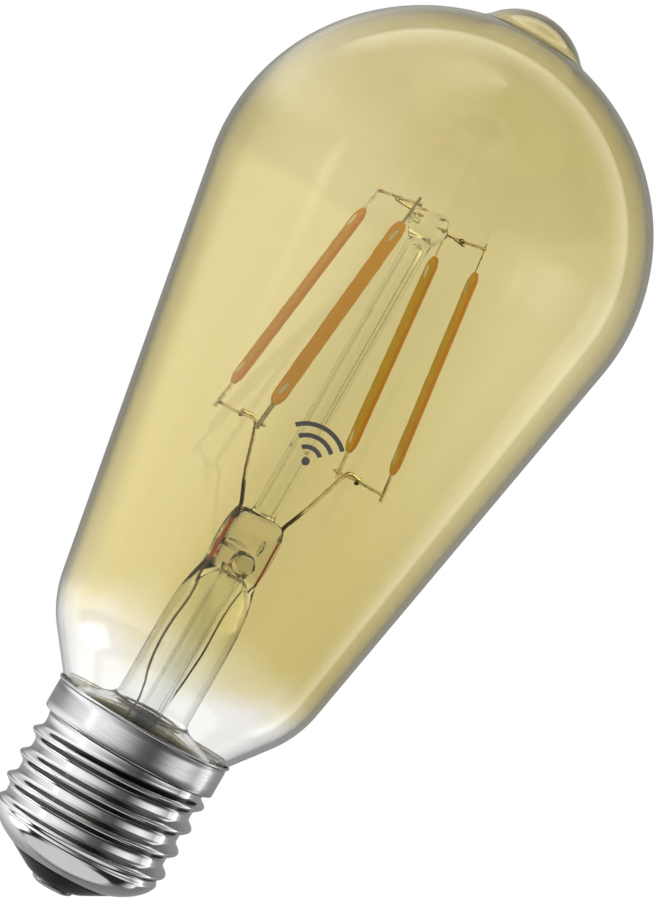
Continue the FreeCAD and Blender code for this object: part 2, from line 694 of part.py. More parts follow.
def oval(body, name, height, across, deep):
    """An upright sketch plane's oval, for the flattening of the stem tube."""
    sketch = new_sketch(body, "XY_Plane", name, height)
    if across.number == deep.number:
        item = sketch.addGeometry(Part.Circle(Vector(0, 0, 0), ABOVE, across.number))
        locate(sketch, item, CENTRE, 0, 0)
        measured(sketch, "Radius", item, size=across)
        return sketch
    item = sketch.addGeometry(Part.Ellipse(Vector(0, 0, 0), across.number, deep.number))
    locate(sketch, item, CENTRE, 0, 0)
    sketch.exposeInternalGeometry(item)
    long_line, short_line = item + 1, item + 2
    sketch.addConstraint(Sketcher.Constraint("Horizontal", long_line))
    measured(sketch, "Distance", long_line, START, long_line, END, size=across * 2)
    measured(sketch, "Distance", short_line, START, short_line, END, size=deep * 2)
    return sketch


def loft(body, kind, ovals):
    feature = body.newObject("PartDesign::" + kind, kind)
    feature.Profile = ovals[0]
    feature.Sections = ovals[1:]


def make_stem(leads):
    """The flare tube, flattened at its top into the pinch that seals the leads."""
    outer, inner = d.tube_radius, d.tube_radius - d.tube_wall
    flange = d.neck_radius - 0.1
    skirt = d.neck_radius - d.glass_wall - d.skirt_gap
    body = doc.addObject("PartDesign::Body", "StemBlank")
    turn_feature(body, "Revolution", [
        (flange, d.neck_bottom),
        (skirt, d.neck_bottom),
        (skirt, d.skirt_top, d.skirt_wall * 2),
        (outer, d.tube_bottom, d.trumpet_curve),
        (outer, d.tube_top),
        (inner, d.tube_top),
        (inner, d.tube_bottom - d.skirt_wall * 0.4, d.trumpet_curve + d.skirt_wall),
        (skirt - d.skirt_wall, d.skirt_top - d.skirt_wall * 0.6, d.skirt_wall),
        (skirt - d.skirt_wall, d.neck_bottom - d.seal_height),
        (flange, d.neck_bottom - d.seal_height),
    ])
    loft(body, "AdditiveLoft", [
        oval(body, "TubeEnd", d.tube_top, outer, outer),
        oval(body, "PinchFoot", d.press_bottom, d.press_width, d.press_depth),
        oval(body, "PinchHead", d.press_top - d.press_round, d.press_width, d.press_depth),
        oval(body, "PinchEnd", d.press_top, d.press_width - d.press_narrow,
             d.press_depth - d.press_thin),
    ])
    loft(body, "SubtractiveLoft", [
        oval(body, "HollowFoot", d.tube_top, inner, inner),
        oval(body, "HollowEnd", d.cavity_top, d.cavity_width, d.cavity_depth),
    ])
    exhaust = doc.addObject("Part::Cylinder", "ExhaustRoom")
    bind(exhaust, "Radius", d.exhaust_radius)
    bind(exhaust, "Height", d.exhaust_top - d.exhaust_tip)
    placed(exhaust, 0, 0, d.exhaust_tip)
    duct = rod(0, 0, d.exhaust_top, d.exhaust_bore, d.vent_height - d.exhaust_top, "Duct")
    vent = rod(0, 0, d.vent_height, d.vent_radius, d.press_depth * 2, "Vent")
    vent.Placement = Placement(Vector(0, 0, 0), Rotation(Vector(1, 0, 0), 90))
    placed(vent, 0, d.press_depth, d.vent_height)
    cut("stem_flare", body, [exhaust, duct, vent] + leads)
    turned("exhaust_tube", [
        (0, d.exhaust_tip),
        (d.exhaust_point, d.exhaust_tip),
        (d.exhaust_radius, d.exhaust_tip + d.exhaust_seal * 2),
        (d.exhaust_radius, d.exhaust_top),
        (d.exhaust_bore, d.exhaust_top),
        (d.exhaust_bore, d.exhaust_tip + d.exhaust_seal * 2),
        (0, d.exhaust_tip + d.exhaust_seal),
    ])


# ---------------------------------------------------------------- filament frame

def make_frame():
    """The column with its bead, the two supports, and the four cross bars."""
    blank = doc.addObject("PartDesign::Body", "ColumnBlank")
    turn_feature(blank, "Revolution", [
        (d.column_bore, d.press_top),
        (d.column_radius, d.press_top),
        (d.column_radius, d.bead_foot),
        (d.bead_radius, d.bead_low, d.bead_low_round),
        (d.bead_radius, d.bead_high, d.bead_high_round),
        (d.bead_flat, d.bead_top),
        (0, d.bead_top),
        (0, d.bore_end),
        (d.column_bore, d.bore_end - d.bore_taper),
    ])
    support_height = d.top_bar_height - d.bar_radius * 2
    supports = []
    for side, sign in SIDES:
        start = d.support_start * sign
        length = d.top_bar_out + d.support_past - d.support_start
        wire = rod(start, 0, support_height, d.bar_radius, length, "Support")
        wire.Placement = Placement(Vector(0, 0, 0), Rotation(Vector(0, 1, 0), 90 * sign))
        placed(wire, start, 0, support_height)
        supports.append(kept(wire, "top_support_wire_" + side))
    cut("support_column", blank, supports)
    for level, out, weld, height in (("top", d.top_bar_out, d.top_weld, d.top_bar_height),
                                     ("bottom", d.low_bar_out, d.low_weld, d.low_bar_height)):
        for side, sign in SIDES:
            reach = weld + d.bar_overhang
            bar = rod(out * sign, reach, height, d.bar_radius, reach * 2, "CrossBar")
            bar.Placement = Placement(Vector(0, 0, 0), Rotation(Vector(1, 0, 0), 90))
            placed(bar, out * sign, reach, height)
            kept(bar, "%s_crossbar_%s" % (level, side))


# corner of the frame (side, front or back) and how far the strip is twisted
WELD_GAP = 0.01
FILAMENTS = ((-1, 1, 0.0), (-1, -1, 50.0), (1, 1, 5.0), (1, -1, -10.0))


def filament_place(side, end, twist):
    """Stand a filament on its lower weld, aimed at its upper one, flat face outward."""
    low = Vector(side * d.low_bar_out.number, end * d.low_weld.number, d.low_bar_height.number)
    high = Vector(side * d.top_bar_out.number, end * d.top_weld.number, d.top_bar_height.number)
    along = (high - low).normalize()
    outward = Rotation(along, twist).multVec(Vector(side, 0, 0))
    across = along.cross(outward).normalize()
    facing = across.cross(along)
    turn = math.radians(abs(twist))
    half_strip = Vector(d.terminal_depth.number / 2, d.low_terminal.number / 2, 0)
    half_across = half_strip.x * math.cos(turn) + half_strip.y * math.sin(turn)
    clear = d.bar_radius.number + WELD_GAP + half_across
    stand_off = Vector(side, 0, 0) * clear
    return Placement(low + stand_off, Rotation(facing, across, along, "ZXY")), (high - low).Length


def strip(body, name, width, depth, low, high):
    """A flat bar along Z, centred on the axis."""
    sketch = new_sketch(body, "YZ_Plane", name)
    half = sized(width) / 2
    draw_path(sketch, [(-half, low), (half, low), (half, high), (-half, high)], closed=True)
    pad = body.newObject("PartDesign::Pad", "Pad")
    pad.Profile = sketch
    pad.SideType = "Symmetric"
    bind(pad, "Length", depth)
    return pad


def make_filament(number, side, end, twist):
    """One filament: yellow coating, chip carrier inside it, and its two end strips."""
    place, span = filament_place(side, end, twist)
    low, high = d.filament_start, d.filament_start + d.filament_length
    half = d.filament_width / 2
    blank = doc.addObject("PartDesign::Body", "CoatingBlank")
    sketch = new_sketch(blank, "YZ_Plane", "Coating")
    tip, corner = d.coating_tip, d.coating_round
    low_taper, high_taper = low + d.coating_taper, high - d.coating_taper
    draw_path(sketch, [
        (-tip, low), (tip, low), (half, low_taper, corner), (half, high_taper, corner),
        (tip, high), (-tip, high), (-half, high_taper, corner), (-half, low_taper, corner),
    ], closed=True)
    pad = blank.newObject("PartDesign::Pad", "Pad")
    pad.Profile = sketch
    pad.SideType = "Symmetric"
    bind(pad, "Length", d.filament_depth)
    blank.Placement = place
    core = kept(doc.addObject("PartDesign::Body", "Core"), "filament_core_%d" % number)
    strip(core, "Carrier", d.core_width, d.core_depth, low + d.terminal_grip,
          high - d.terminal_grip)
    core.Placement = place
    ends = []
    for first, last, width in (
            (-d.terminal_past, low + d.terminal_grip, d.low_terminal),
            (high - d.terminal_grip, sized(span) + d.terminal_past, d.top_terminal)):
        terminal = doc.addObject("PartDesign::Body", "Terminal")
        strip(terminal, "Strip", width, d.terminal_depth, first, last)
        terminal.Placement = place
        ends.append(terminal)
    group("filament_terminals_%d" % number, ends)
    cut("led_filament_%d" % number, blank, [core] + ends)


# ---------------------------------------------------------------- driver in the cap

def make_driver():
    """Mains driver and radio on two upright boards, in a plastic sleeve."""
    turned("driver_sleeve", tube_section(d.sleeve_radius - d.sleeve_wall, d.sleeve_radius,
                                         d.sleeve_bottom, d.sleeve_top))
    back = -d.board_thickness
    kept(block(0, back, d.board_bottom, d.board_width, d.board_thickness, d.board_height),
         "driver_board")
    front = d.part_gap
    can_y = front + d.capacitor_radius
    capacitor = turned("bulk_capacitor", [
        (0, 0),
        (d.capacitor_radius, 0, d.capacitor_round),
        (d.capacitor_radius, d.groove_height - d.groove_width),
        (d.capacitor_radius - d.groove_depth, d.groove_height),
        (d.capacitor_radius, d.groove_height + d.groove_width),
        (d.capacitor_radius, d.capacitor_height, d.capacitor_round),
        (0, d.capacitor_height),
    ])
    placed(capacitor, -d.part_side, can_y, d.part_lift)
    coil_y = front + d.inductor_radius
    flange = d.flange_height
    drum = turned("power_inductor", [
        (0, 0),
        (d.inductor_radius, 0),
        (d.inductor_radius, flange),
        (d.inductor_waist, flange),
        (d.inductor_waist, d.inductor_height - flange),
        (d.inductor_radius, d.inductor_height - flange),
        (d.inductor_radius, d.inductor_height),
        (0, d.inductor_height),
    ])
    placed(drum, d.part_side, coil_y, d.part_lift)
    winding = turned("inductor_winding", tube_section(
        d.inductor_waist, d.winding_radius, flange, d.inductor_height - flange))
    placed(winding, d.part_side, coil_y, d.part_lift)
    kept(rod(0, d.resistor_front, d.part_lift, d.resistor_radius, d.resistor_height),
         "fusible_resistor")
    chip_back = back - d.chip_depth
    kept(block(-d.rectifier_side, chip_back, d.chip_low, d.rectifier_width, d.chip_depth,
               d.rectifier_height), "bridge_rectifier")
    kept(block(d.chip_side, chip_back, d.chip_low, d.chip_width, d.chip_depth, d.chip_height),
         "driver_chip")
    radio_front = back - d.radio_gap
    radio_back = radio_front - d.radio_thickness
    kept(block(0, radio_back, d.part_lift, d.radio_width, d.radio_thickness, d.radio_height),
         "radio_board")
    can_low = d.part_lift + d.shield_lift
    kept(block(0, radio_back - d.shield_depth, can_low, d.shield_width, d.shield_depth,
               d.shield_height), "radio_shield")
    trace_low = can_low + d.shield_height + d.trace_gap
    five = range(-2, 3)
    group("antenna_trace", [
        block(d.trace_pitch * i, radio_back - d.trace_depth, trace_low, d.trace_width,
              d.trace_depth, d.trace_height, "Trace") for i in five])
    group("board_link_pins", [
        block(d.pin_pitch * i, radio_front, d.part_lift + d.pin_lift, d.pin_width, d.radio_gap,
              d.pin_width, "Pin") for i in five])


def make_cap_wires():
    """The wires that join the contacts, the driver, the antenna and the stem."""
    tight = d.wire_radius * 1.8
    wide = d.tail_bend * 0.4
    live_turn = d.rivet_top + d.wire_radius * 2
    bent_wire("live_wire", [
        (0, d.contact_height),
        (0, live_turn, tight),
        (d.live_side, live_turn + d.live_step, tight),
        (d.live_side, live_turn + d.live_step * 2),
    ], d.wire_radius, role="YZ_Plane")
    bent_wire("neutral_wire", [
        (-d.neutral_side, d.neutral_foot),
        (-d.neutral_side, d.neutral_bend, tight * 2),
        (-d.neutral_edge, d.neutral_bend + d.live_step, tight),
        (-d.neutral_edge, d.neutral_top),
    ], d.wire_radius, off=d.wire_radius + d.wire_gap)
    board_top = d.board_bottom + d.board_height
    bent_wire("antenna_wire", [
        (-d.antenna_back, d.part_lift + d.radio_height),
        (-d.antenna_back, d.antenna_bend, wide),
        (-d.antenna_in, d.antenna_bend + d.antenna_lift, wide),
        (-d.antenna_in, d.antenna_top),
    ], d.tail_radius, role="YZ_Plane")
    solder = []
    for out in (d.tail_left - d.lead_out, d.lead_out - d.tail_right):
        cone = doc.addObject("Part::Cone", "Solder")
        bind(cone, "Radius1", d.solder_foot)
        bind(cone, "Radius2", d.solder_tip)
        bind(cone, "Height", d.solder_height)
        solder.append(placed(cone, out, -d.board_thickness / 2, board_top))
    group("solder_joints", solder)


make_glass()
make_screw_shell()
make_cap_bottom()
make_stem(make_leads())
make_frame()
for count, (side_sign, end_sign, twist_angle) in enumerate(FILAMENTS, start=1):
    make_filament(count, side_sign, end_sign, twist_angle)
make_driver()
make_cap_wires()
doc.recompute()

for item in doc.Objects:
    if {"Invalid", "Error"} & set(item.State):
        raise RuntimeError("%s (%s) did not build: %s" % (item.Name, item.Label, item.State))
for piece in pieces:
    if piece.Shape.isNull() or not piece.Shape.isValid() or not piece.Shape.Solids:
        raise RuntimeError("%s has no sound solid" % piece.Label)

os.makedirs("parts", exist_ok=True)
for piece in pieces:
    piece.Shape.exportStep(os.path.join("parts", piece.Label + ".step"))
    print("%-24s %2d solid(s) %9.2f mm3" % (piece.Label, len(piece.Shape.Solids),
                                            piece.Shape.Volume))
print("%d nodes" % len(pieces))
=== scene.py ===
"""Looks of the smart filament light bulb: glass, cap, filaments, wires, stage, lights and camera."""

import json
import math

import bmesh
import bpy
import numpy as np
from mathutils import Matrix, Vector, noise


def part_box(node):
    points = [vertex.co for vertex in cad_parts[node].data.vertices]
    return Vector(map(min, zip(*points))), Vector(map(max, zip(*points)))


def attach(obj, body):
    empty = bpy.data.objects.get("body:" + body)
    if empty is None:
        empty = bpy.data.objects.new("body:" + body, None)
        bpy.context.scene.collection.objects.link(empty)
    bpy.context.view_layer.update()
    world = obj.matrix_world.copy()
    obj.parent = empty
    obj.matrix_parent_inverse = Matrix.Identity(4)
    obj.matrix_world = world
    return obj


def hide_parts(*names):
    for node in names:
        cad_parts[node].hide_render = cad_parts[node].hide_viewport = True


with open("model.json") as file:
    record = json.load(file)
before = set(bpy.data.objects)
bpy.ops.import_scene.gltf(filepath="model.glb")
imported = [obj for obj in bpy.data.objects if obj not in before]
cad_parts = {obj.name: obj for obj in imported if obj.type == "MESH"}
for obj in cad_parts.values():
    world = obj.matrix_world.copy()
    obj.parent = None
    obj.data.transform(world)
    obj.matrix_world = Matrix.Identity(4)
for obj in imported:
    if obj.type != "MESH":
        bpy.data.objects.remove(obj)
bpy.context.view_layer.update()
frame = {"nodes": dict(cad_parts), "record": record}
scene = bpy.context.scene
MM = 0.001
TURN = 2 * math.pi
SIDES = (("left", -1), ("right", 1))

# ---- sizes read from the frame

glass_low, glass_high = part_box("glass_envelope")
GLASS_RADIUS = min(glass_high.x, glass_high.y, -glass_low.x, -glass_low.y)
BULB_TOP = glass_high.z
COLLAR_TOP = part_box("screw_shell")[1].z
PRESS_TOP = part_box("stem_flare")[1].z
COLUMN_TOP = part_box("support_column")[1].z
TRUMPET_TOP = 28.2 * MM

# ---- mesh helpers


def piece(name, mesh, slot, replaced=(), look=None):
    """Wrap a mesh as a piece that rides with the lamp; its look is its slot's unless given."""
    made = bpy.data.objects.new(name, mesh)
    scene.collection.objects.link(made)
    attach(made, "root")
    if replaced:
        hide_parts(*replaced)
    mesh.name = name
    mesh.materials.append(look or MATERIALS[slot])


def smooth_mesh(bm, sharp=50):
    """Finish a mesh: faces outward, smooth but for edges sharper than an angle in degrees."""
    bmesh.ops.recalc_face_normals(bm, faces=bm.faces)
    mesh = bpy.data.meshes.new("piece")
    bm.to_mesh(mesh)
    bm.free()
    mesh.shade_smooth()
    mesh.set_sharp_from_angle(angle=math.radians(sharp))
    return mesh


def skin_rings(bm, rings, closed=False):
    """Join rings of vertices, each a full turn, into faces; a ring of one vertex is a pole."""
    count = max(len(ring) for ring in rings)
    for low, high in zip(rings, rings[1:] + rings[:int(closed)]):
        if len(low) == len(high) == 1:
            continue
        for i in range(count):
            j = (i + 1) % count
            corners = [low[i % len(low)], low[j % len(low)], high[j % len(high)], high[i % len(high)]]
            face = list(dict.fromkeys(corners))
            if len(face) > 2:
                bm.faces.new(face)


def around(steps):
    """Cosine and sine of each step of a full turn."""
    return [(math.cos(TURN * i / steps), math.sin(TURN * i / steps)) for i in range(steps)]


def lathe(loop, steps, sharp=50, wobble=None):
    """Turn a closed loop of (radius, height) about the axis; a radius of 0 closes to a pole."""
    bm = bmesh.new()
    rings = []
    for radius, height in loop:
        if radius <= 0:
            rings.append([bm.verts.new((0, 0, height))])
            continue
        spots = [Vector((radius * c, radius * s, height)) for c, s in around(steps)]
        rings.append([bm.verts.new(wobble(spot) if wobble else spot) for spot in spots])
    skin_rings(bm, rings, closed=True)
    return smooth_mesh(bm, sharp)


def in_mm(table):
    """Rows of sizes written in millimetres, in metres."""
    return [tuple(size * MM for size in row) for row in table]


def arc(centre, radius, start, end, steps):
    """Points of a circle's arc in the section plane, angles in radians from outward."""
    return [(centre[0] + radius * math.cos(start + (end - start) * k / steps),
             centre[1] + radius * math.sin(start + (end - start) * k / steps))
            for k in range(steps + 1)]


def smooth_line(points, per_run):
    """A Catmull-Rom curve through control points of any dimension."""
    pts = [np.array(p, float) for p in points]
    pts = [2 * pts[0] - pts[1]] + pts + [2 * pts[-1] - pts[-2]]
    out = []
    for k in range(1, len(pts) - 2):
        a, b, c, d = pts[k - 1:k + 3]
        for i in range(per_run):
            t = i / per_run
            out.append(0.5 * (2 * b + (c - a) * t + (2 * a - 5 * b + 4 * c - d) * t * t
                              + (3 * b - a - 3 * c + d) * t ** 3))
    out.append(pts[-2])
    return out


# noise.noise_vector gives other values in every run, so a drift is made of three plain noises
DRIFT_SHIFTS = (Vector((9.3, -1.5, -8.0)), Vector((0.0, 0.0, 0.0)), Vector((5.1, 12.1, 4.1)))


def drift_at(spot):
    """A steady vector of noise at a point."""
    return Vector([noise.noise(spot + shift) for shift in DRIFT_SHIFTS])


def ramp(x, low, high):
    """0 below low, 1 above high, smooth between."""
    t = min(max((x - low) / (high - low), 0.0), 1.0)
    return t * t * (3 - 2 * t)


WIRE_SIDES = 14
WIRE_GRAIN = 2500


def tube_mesh(path, radius_at, roughness, seed):
    """A closed round wire along a path; radius_at(share) gives its radius, roughness its unevenness."""
    pts = [Vector(p) for p in path]
    bm = bmesh.new()
    rings = []
    tangent = (pts[1] - pts[0]).normalized()
    side = tangent.orthogonal().normalized()
    for k, spot in enumerate(pts):
        ahead = pts[min(k + 1, len(pts) - 1)] - pts[max(k - 1, 0)]
        ahead.normalize()
        side = (side - ahead * side.dot(ahead)).normalized()
        other = ahead.cross(side)
        radius = radius_at(k / (len(pts) - 1))
        ring = []
        for c, s in around(WIRE_SIDES):
            out = side * c + other * s
            grain = noise.noise((spot + out * radius) * WIRE_GRAIN + Vector((seed, 0, 0)))
            ring.append(bm.verts.new(spot + out * radius * (1 + roughness * grain)))
        rings.append(ring)
    rings.insert(0, [bm.verts.new(pts[0])])
    rings.append([bm.verts.new(pts[-1])])
    skin_rings(bm, rings)
    return smooth_mesh(bm, 40)


def egg(bm, centre, size, lumps, grain, shift, rows, steps):
    """A closed egg about a centre with soft lumps on its skin."""
    rings = [[bm.verts.new(centre + Vector((0, 0, size.z)))]]
    for k in range(1, rows):
        polar = math.pi * k / rows
        ring = []
        for c, s in around(steps):
            out = Vector((math.sin(polar) * c, math.sin(polar) * s, math.cos(polar)))
            lump = 1 + lumps * noise.noise(out * grain + shift)
            ring.append(bm.verts.new(centre + out * size * lump))
        rings.append(ring)
    rings.append([bm.verts.new(centre - Vector((0, 0, size.z)))])
    skin_rings(bm, rings)


# ---- material helpers


class Nodes:
    """Short ways of adding nodes to one material or world and linking them."""

    def __init__(self, owner):
        self.owner = owner
        owner.use_nodes = True
        self.tree = owner.node_tree
        self.shader = self.tree.nodes.get("Principled BSDF")

    def put(self, target, value):
        if isinstance(value, bpy.types.NodeSocket):
            self.tree.links.new(value, target)
        else:
            target.default_value = value

    def add(self, kind, inputs=(), **settings):
        node = self.tree.nodes.new(kind)
        for key, value in settings.items():
            setattr(node, key, value)
        for key, value in dict(inputs).items():
            self.put(node.inputs[key], value)
        return node

    def math(self, operation, first, second=0.0):
        return self.add("ShaderNodeMath", {0: first, 1: second}, operation=operation).outputs[0]

    def times(self, first, second):
        return self.math("MULTIPLY", first, second)

    def parts(self, vector):
        return self.add("ShaderNodeSeparateXYZ", {0: vector}).outputs

    def scaled(self, vector, scale):
        return self.add("ShaderNodeMapping", {"Vector": vector, "Scale": scale}).outputs[0]

    def noise(self, vector, scale, detail=3.0, rough=0.5):
        node = self.add("ShaderNodeTexNoise", {"Vector": vector, "Scale": scale, "Detail": detail,
                                               "Roughness": rough})
        return node.outputs["Fac"]

    def spread(self, value, low, high, new_low=0.0, new_high=1.0, kind="LINEAR"):
        node = self.add("ShaderNodeMapRange", {"Value": value, "From Min": low, "From Max": high,
                                               "To Min": new_low, "To Max": new_high},
                        interpolation_type=kind)
        return node.outputs["Result"]

    def soft(self, *limits):
        return self.spread(*limits, kind="SMOOTHSTEP")

    def mixed(self, share, first, second):
        return self.add("ShaderNodeMix", {0: share, 2: first, 3: second}).outputs[0]

    def blend(self, share, first, second, kind="MIX"):
        node = self.add("ShaderNodeMix", data_type="RGBA", blend_type=kind)
        self.put(node.inputs["Factor"], share)
        for socket, value in ((node.inputs[6], first), (node.inputs[7], second)):
            self.put(socket, value if isinstance(value, bpy.types.NodeSocket) else (*value, 1.0))
        return node.outputs[2]

    def facing(self):
        """0 where the surface faces the eye, 1 where it is seen edge on."""
        return self.add("ShaderNodeLayerWeight", {"Blend": 0.5}).outputs["Facing"]

    def bump(self, height, strength, distance):
        node = self.add("ShaderNodeBump", {"Height": height, "Strength": strength,
                                           "Distance": distance})
        return node.outputs[0]

    def set(self, **values):
        for key, value in values.items():
            target = self.shader.inputs[key.replace("_", " ")]
            if isinstance(value, tuple):
                value = (*value, 1.0)[:len(target.default_value)]
            self.put(target, value)
        return self.owner


def material(name):
    """A new material's nodes and the place on the object that its patterns are laid out by."""
    n = Nodes(bpy.data.materials.new(name))
    return n, n.add("ShaderNodeTexCoord").outputs["Object"]


# ---- materials


def amber_glass():
    """Clear glass with an amber lustre that fades out in clouds towards the neck, with painted shade
    that deepens the tint over the dome and darkens it where the glass is seen edge on.
    """
    n, place = material("amber_glass")
    height = n.parts(place)[2]
    clouds = n.noise(place, 55.0, 2.0, 0.45)
    drift = n.times(n.math("SUBTRACT", clouds, 0.5), 0.016)
    level = n.math("ADD", height, drift)
    tinted = n.soft(level, 0.0315, 0.0435)
    streaks = n.noise(n.scaled(place, (160.0, 160.0, 9.0)), 1.0, 2.0, 0.5)
    depth = n.spread(streaks, 0.3, 0.7, 0.94, 1.0)
    body = n.blend(n.soft(height, 0.045, 0.100), (0.785, 0.712, 0.430), (0.812, 0.748, 0.490))
    # painted shade: the tint deepens over the dome, where the glass is shaded darker
    amber_with_painted_top_shade = n.blend(n.soft(height, 0.108, 0.130), body, (0.770, 0.700, 0.430))
    tint = n.blend(n.times(tinted, depth), (0.985, 0.985, 0.985), amber_with_painted_top_shade)
    # painted edge shade: the tint is multiplied by a darker rim colour where the glass is seen edge on
    edge_shade_mask = n.soft(n.facing(), 0.83, 0.99)
    rim = n.blend(tinted, (0.84, 0.84, 0.84), (0.80, 0.76, 0.64))
    colour = n.blend(edge_shade_mask, tint, n.blend(1.0, tint, rim, "MULTIPLY"))
    ripple = n.noise(n.scaled(place, (45.0, 45.0, 10.0)), 1.0, 1.0, 0.3)
    normal = n.bump(ripple, 0.05, 0.0004)
    return n.set(Base_Color=colour, Roughness=0.0, IOR=1.47, Transmission_Weight=1.0,
                 Normal=normal)


def clear_glass(name="clear_glass", bend=1.5):
    """Drawn tube glass of a given bending power, darker in the pinch, even in the trumpet, with painted
    shade darkening its tint where it is seen edge on.
    """
    n, place = material(name)
    height = n.parts(place)[2]
    cloud = n.noise(place, 180.0, 2.0, 0.5)
    body = n.blend(cloud, (0.955, 0.965, 0.945), (0.9932, 1.0, 0.9828))
    pinch = n.times(n.soft(height, PRESS_TOP - 10.5 * MM, PRESS_TOP - 7.5 * MM),
                    n.soft(height, PRESS_TOP - 0.2 * MM, PRESS_TOP + 0.3 * MM, 1.0, 0.0))
    thick = n.blend(pinch, body, n.blend(cloud, (0.76, 0.75, 0.70), (0.81, 0.80, 0.75)))
    trumpet = n.soft(height, TRUMPET_TOP, TRUMPET_TOP + 0.8 * MM, 1.0, 0.0)
    # painted edge shade: a darker tint where the glass is seen edge on
    edge_shade_mask = n.soft(n.facing(), 0.65, 0.98)
    painted_edge_shaded = n.blend(edge_shade_mask, thick, (0.89, 0.88, 0.79))
    colour = n.blend(trumpet, painted_edge_shaded, (0.98, 0.98, 0.98))
    wave = n.noise(n.scaled(place, (320.0, 320.0, 80.0)), 1.0, 2.0, 0.4)
    normal = n.bump(wave, n.spread(trumpet, 0.0, 1.0, 0.10, 0.0), 0.0004)
    return n.set(Base_Color=colour, Roughness=0.0, IOR=bend, Transmission_Weight=1.0,
                 Normal=normal)


def cap_metal():
    """Rolled bright sheet: polished thread, finely brushed collar, faint smudges."""
    n, place = material("cap_metal")
    x, y, z = n.parts(place)
    angle = n.math("ARCTAN2", y, x)
    band = n.soft(z, COLLAR_TOP - 5.2 * MM, COLLAR_TOP - 4.8 * MM)
    grain_place = n.add("ShaderNodeCombineXYZ", {0: angle, 1: n.times(z, 9000.0)})
    grain = n.noise(n.scaled(grain_place.outputs[0], (3.0, 1.0, 1.0)), 1.0, 3.0, 0.6)
    smudge = n.noise(place, 120.0, 3.0, 0.6)
    polished = n.spread(smudge, 0.3, 0.7, 0.06, 0.11)
    brushed = n.spread(grain, 0.3, 0.7, 0.16, 0.26)
    rough = n.mixed(band, polished, brushed)
    tone = n.blend(n.spread(smudge, 0.3, 0.7), (0.60, 0.605, 0.615), (0.68, 0.685, 0.69))
    streak = n.times(n.spread(grain, 0.35, 0.65), n.times(band, 0.7))
    colour = n.blend(streak, tone, (0.46, 0.465, 0.48))
    scratch = n.times(grain, band)
    normal = n.bump(scratch, 0.22, 0.00003)
    return n.set(Base_Color=colour, Metallic=1.0, Roughness=rough, Normal=normal)


def black_glass():
    """Black glass of the cap's end, glossy with a faint flow in it."""
    n, place = material("black_glass")
    flow = n.noise(place, 260.0, 3.0, 0.5)
    speck = n.noise(place, 2200.0, 2.0, 0.6)
    colour = n.blend(n.spread(speck, 0.5, 0.8), (0.002, 0.002, 0.0025), (0.005, 0.005, 0.006))
    rough = n.spread(flow, 0.3, 0.7, 0.08, 0.18)
    return n.set(Base_Color=colour, Roughness=rough, Specular_IOR_Level=0.07,
                 Normal=n.bump(flow, 0.25, 0.0002))


def metal(name, light, dark, rough_low, rough_high):
    """A worn metal whose colour drifts between two tones."""
    n, place = material(name)
    patch = n.noise(place, 900.0, 4.0, 0.6)
    fine = n.noise(place, 4500.0, 3.0, 0.6)
    colour = n.blend(n.spread(patch, 0.35, 0.7), light, dark)
    rough = n.spread(fine, 0.3, 0.7, rough_low, rough_high)
    return n.set(Base_Color=colour, Metallic=1.0, Roughness=rough,
                 Normal=n.bump(fine, 0.15, 0.00005))


def frame_wire():
    """Gold-toned wire, blackened by the flame just above the pinch and flecked all along."""
    n, place = material("frame_wire")
    burnt = n.soft(n.parts(place)[2], PRESS_TOP + 2.4 * MM, PRESS_TOP + 3.8 * MM, 1.0, 0.0)
    patch = n.noise(place, 800.0, 4.0, 0.65)
    fleck = n.soft(patch, 0.52, 0.66)
    gold = n.blend(n.spread(n.noise(place, 300.0), 0.3, 0.7), (0.84, 0.76, 0.52), (0.66, 0.56, 0.34))
    worn = n.blend(n.times(fleck, 0.8), gold, (0.17, 0.12, 0.06))
    colour = n.blend(burnt, worn, (0.07, 0.05, 0.035))
    rough = n.spread(patch, 0.3, 0.7, 0.14, 0.34)
    return n.set(Base_Color=colour, Metallic=0.9, Roughness=rough,
                 Normal=n.bump(patch, 0.3, 0.00006))


def filament_coating():
    """Phosphor in silicone: orange outward, mustard on the chips' side, redder on the edges."""
    n, place = material("filament_coating")
    face, edge = [n.add("ShaderNodeAttribute", attribute_name=layer).outputs["Fac"]
                  for layer in ("face", "edge")]
    drift = n.noise(place, 420.0, 3.0, 0.6)
    grain = n.noise(place, 5200.0, 3.0, 0.65)
    flat = n.blend(face, (1.00, 0.68, 0.09), (1.00, 0.53, 0.07))
    clouded = n.blend(n.spread(drift, 0.35, 0.7, 0.0, 0.35), flat, (0.98, 0.44, 0.05))
    toned = n.blend(n.times(edge, 0.8), clouded, (0.95, 0.36, 0.04))
    colour = n.blend(n.spread(grain, 0.35, 0.75, 0.0, 0.3), toned, (1.0, 0.66, 0.12))
    rough = n.spread(drift, 0.3, 0.7, 0.30, 0.45)
    return n.set(Base_Color=colour, Roughness=rough, Specular_IOR_Level=0.25, Subsurface_Weight=0.2,
                 Subsurface_Radius=(0.0006, 0.0003, 0.0001), Subsurface_Scale=1.0,
                 Normal=n.bump(grain, 0.18, 0.00004))


def strip_end():
    """The pale plated end of the chip carrier, seen through the thin coating."""
    n, place = material("strip_end")
    worn = n.noise(place, 2600.0, 3.0, 0.6)
    colour = n.blend(n.spread(worn, 0.35, 0.7), (1.0, 1.0, 0.96), (0.96, 0.90, 0.74))
    return n.set(Base_Color=colour, Metallic=0.6, Roughness=n.spread(worn, 0.3, 0.7, 0.3, 0.5),
                 Normal=n.bump(worn, 0.2, 0.00004))


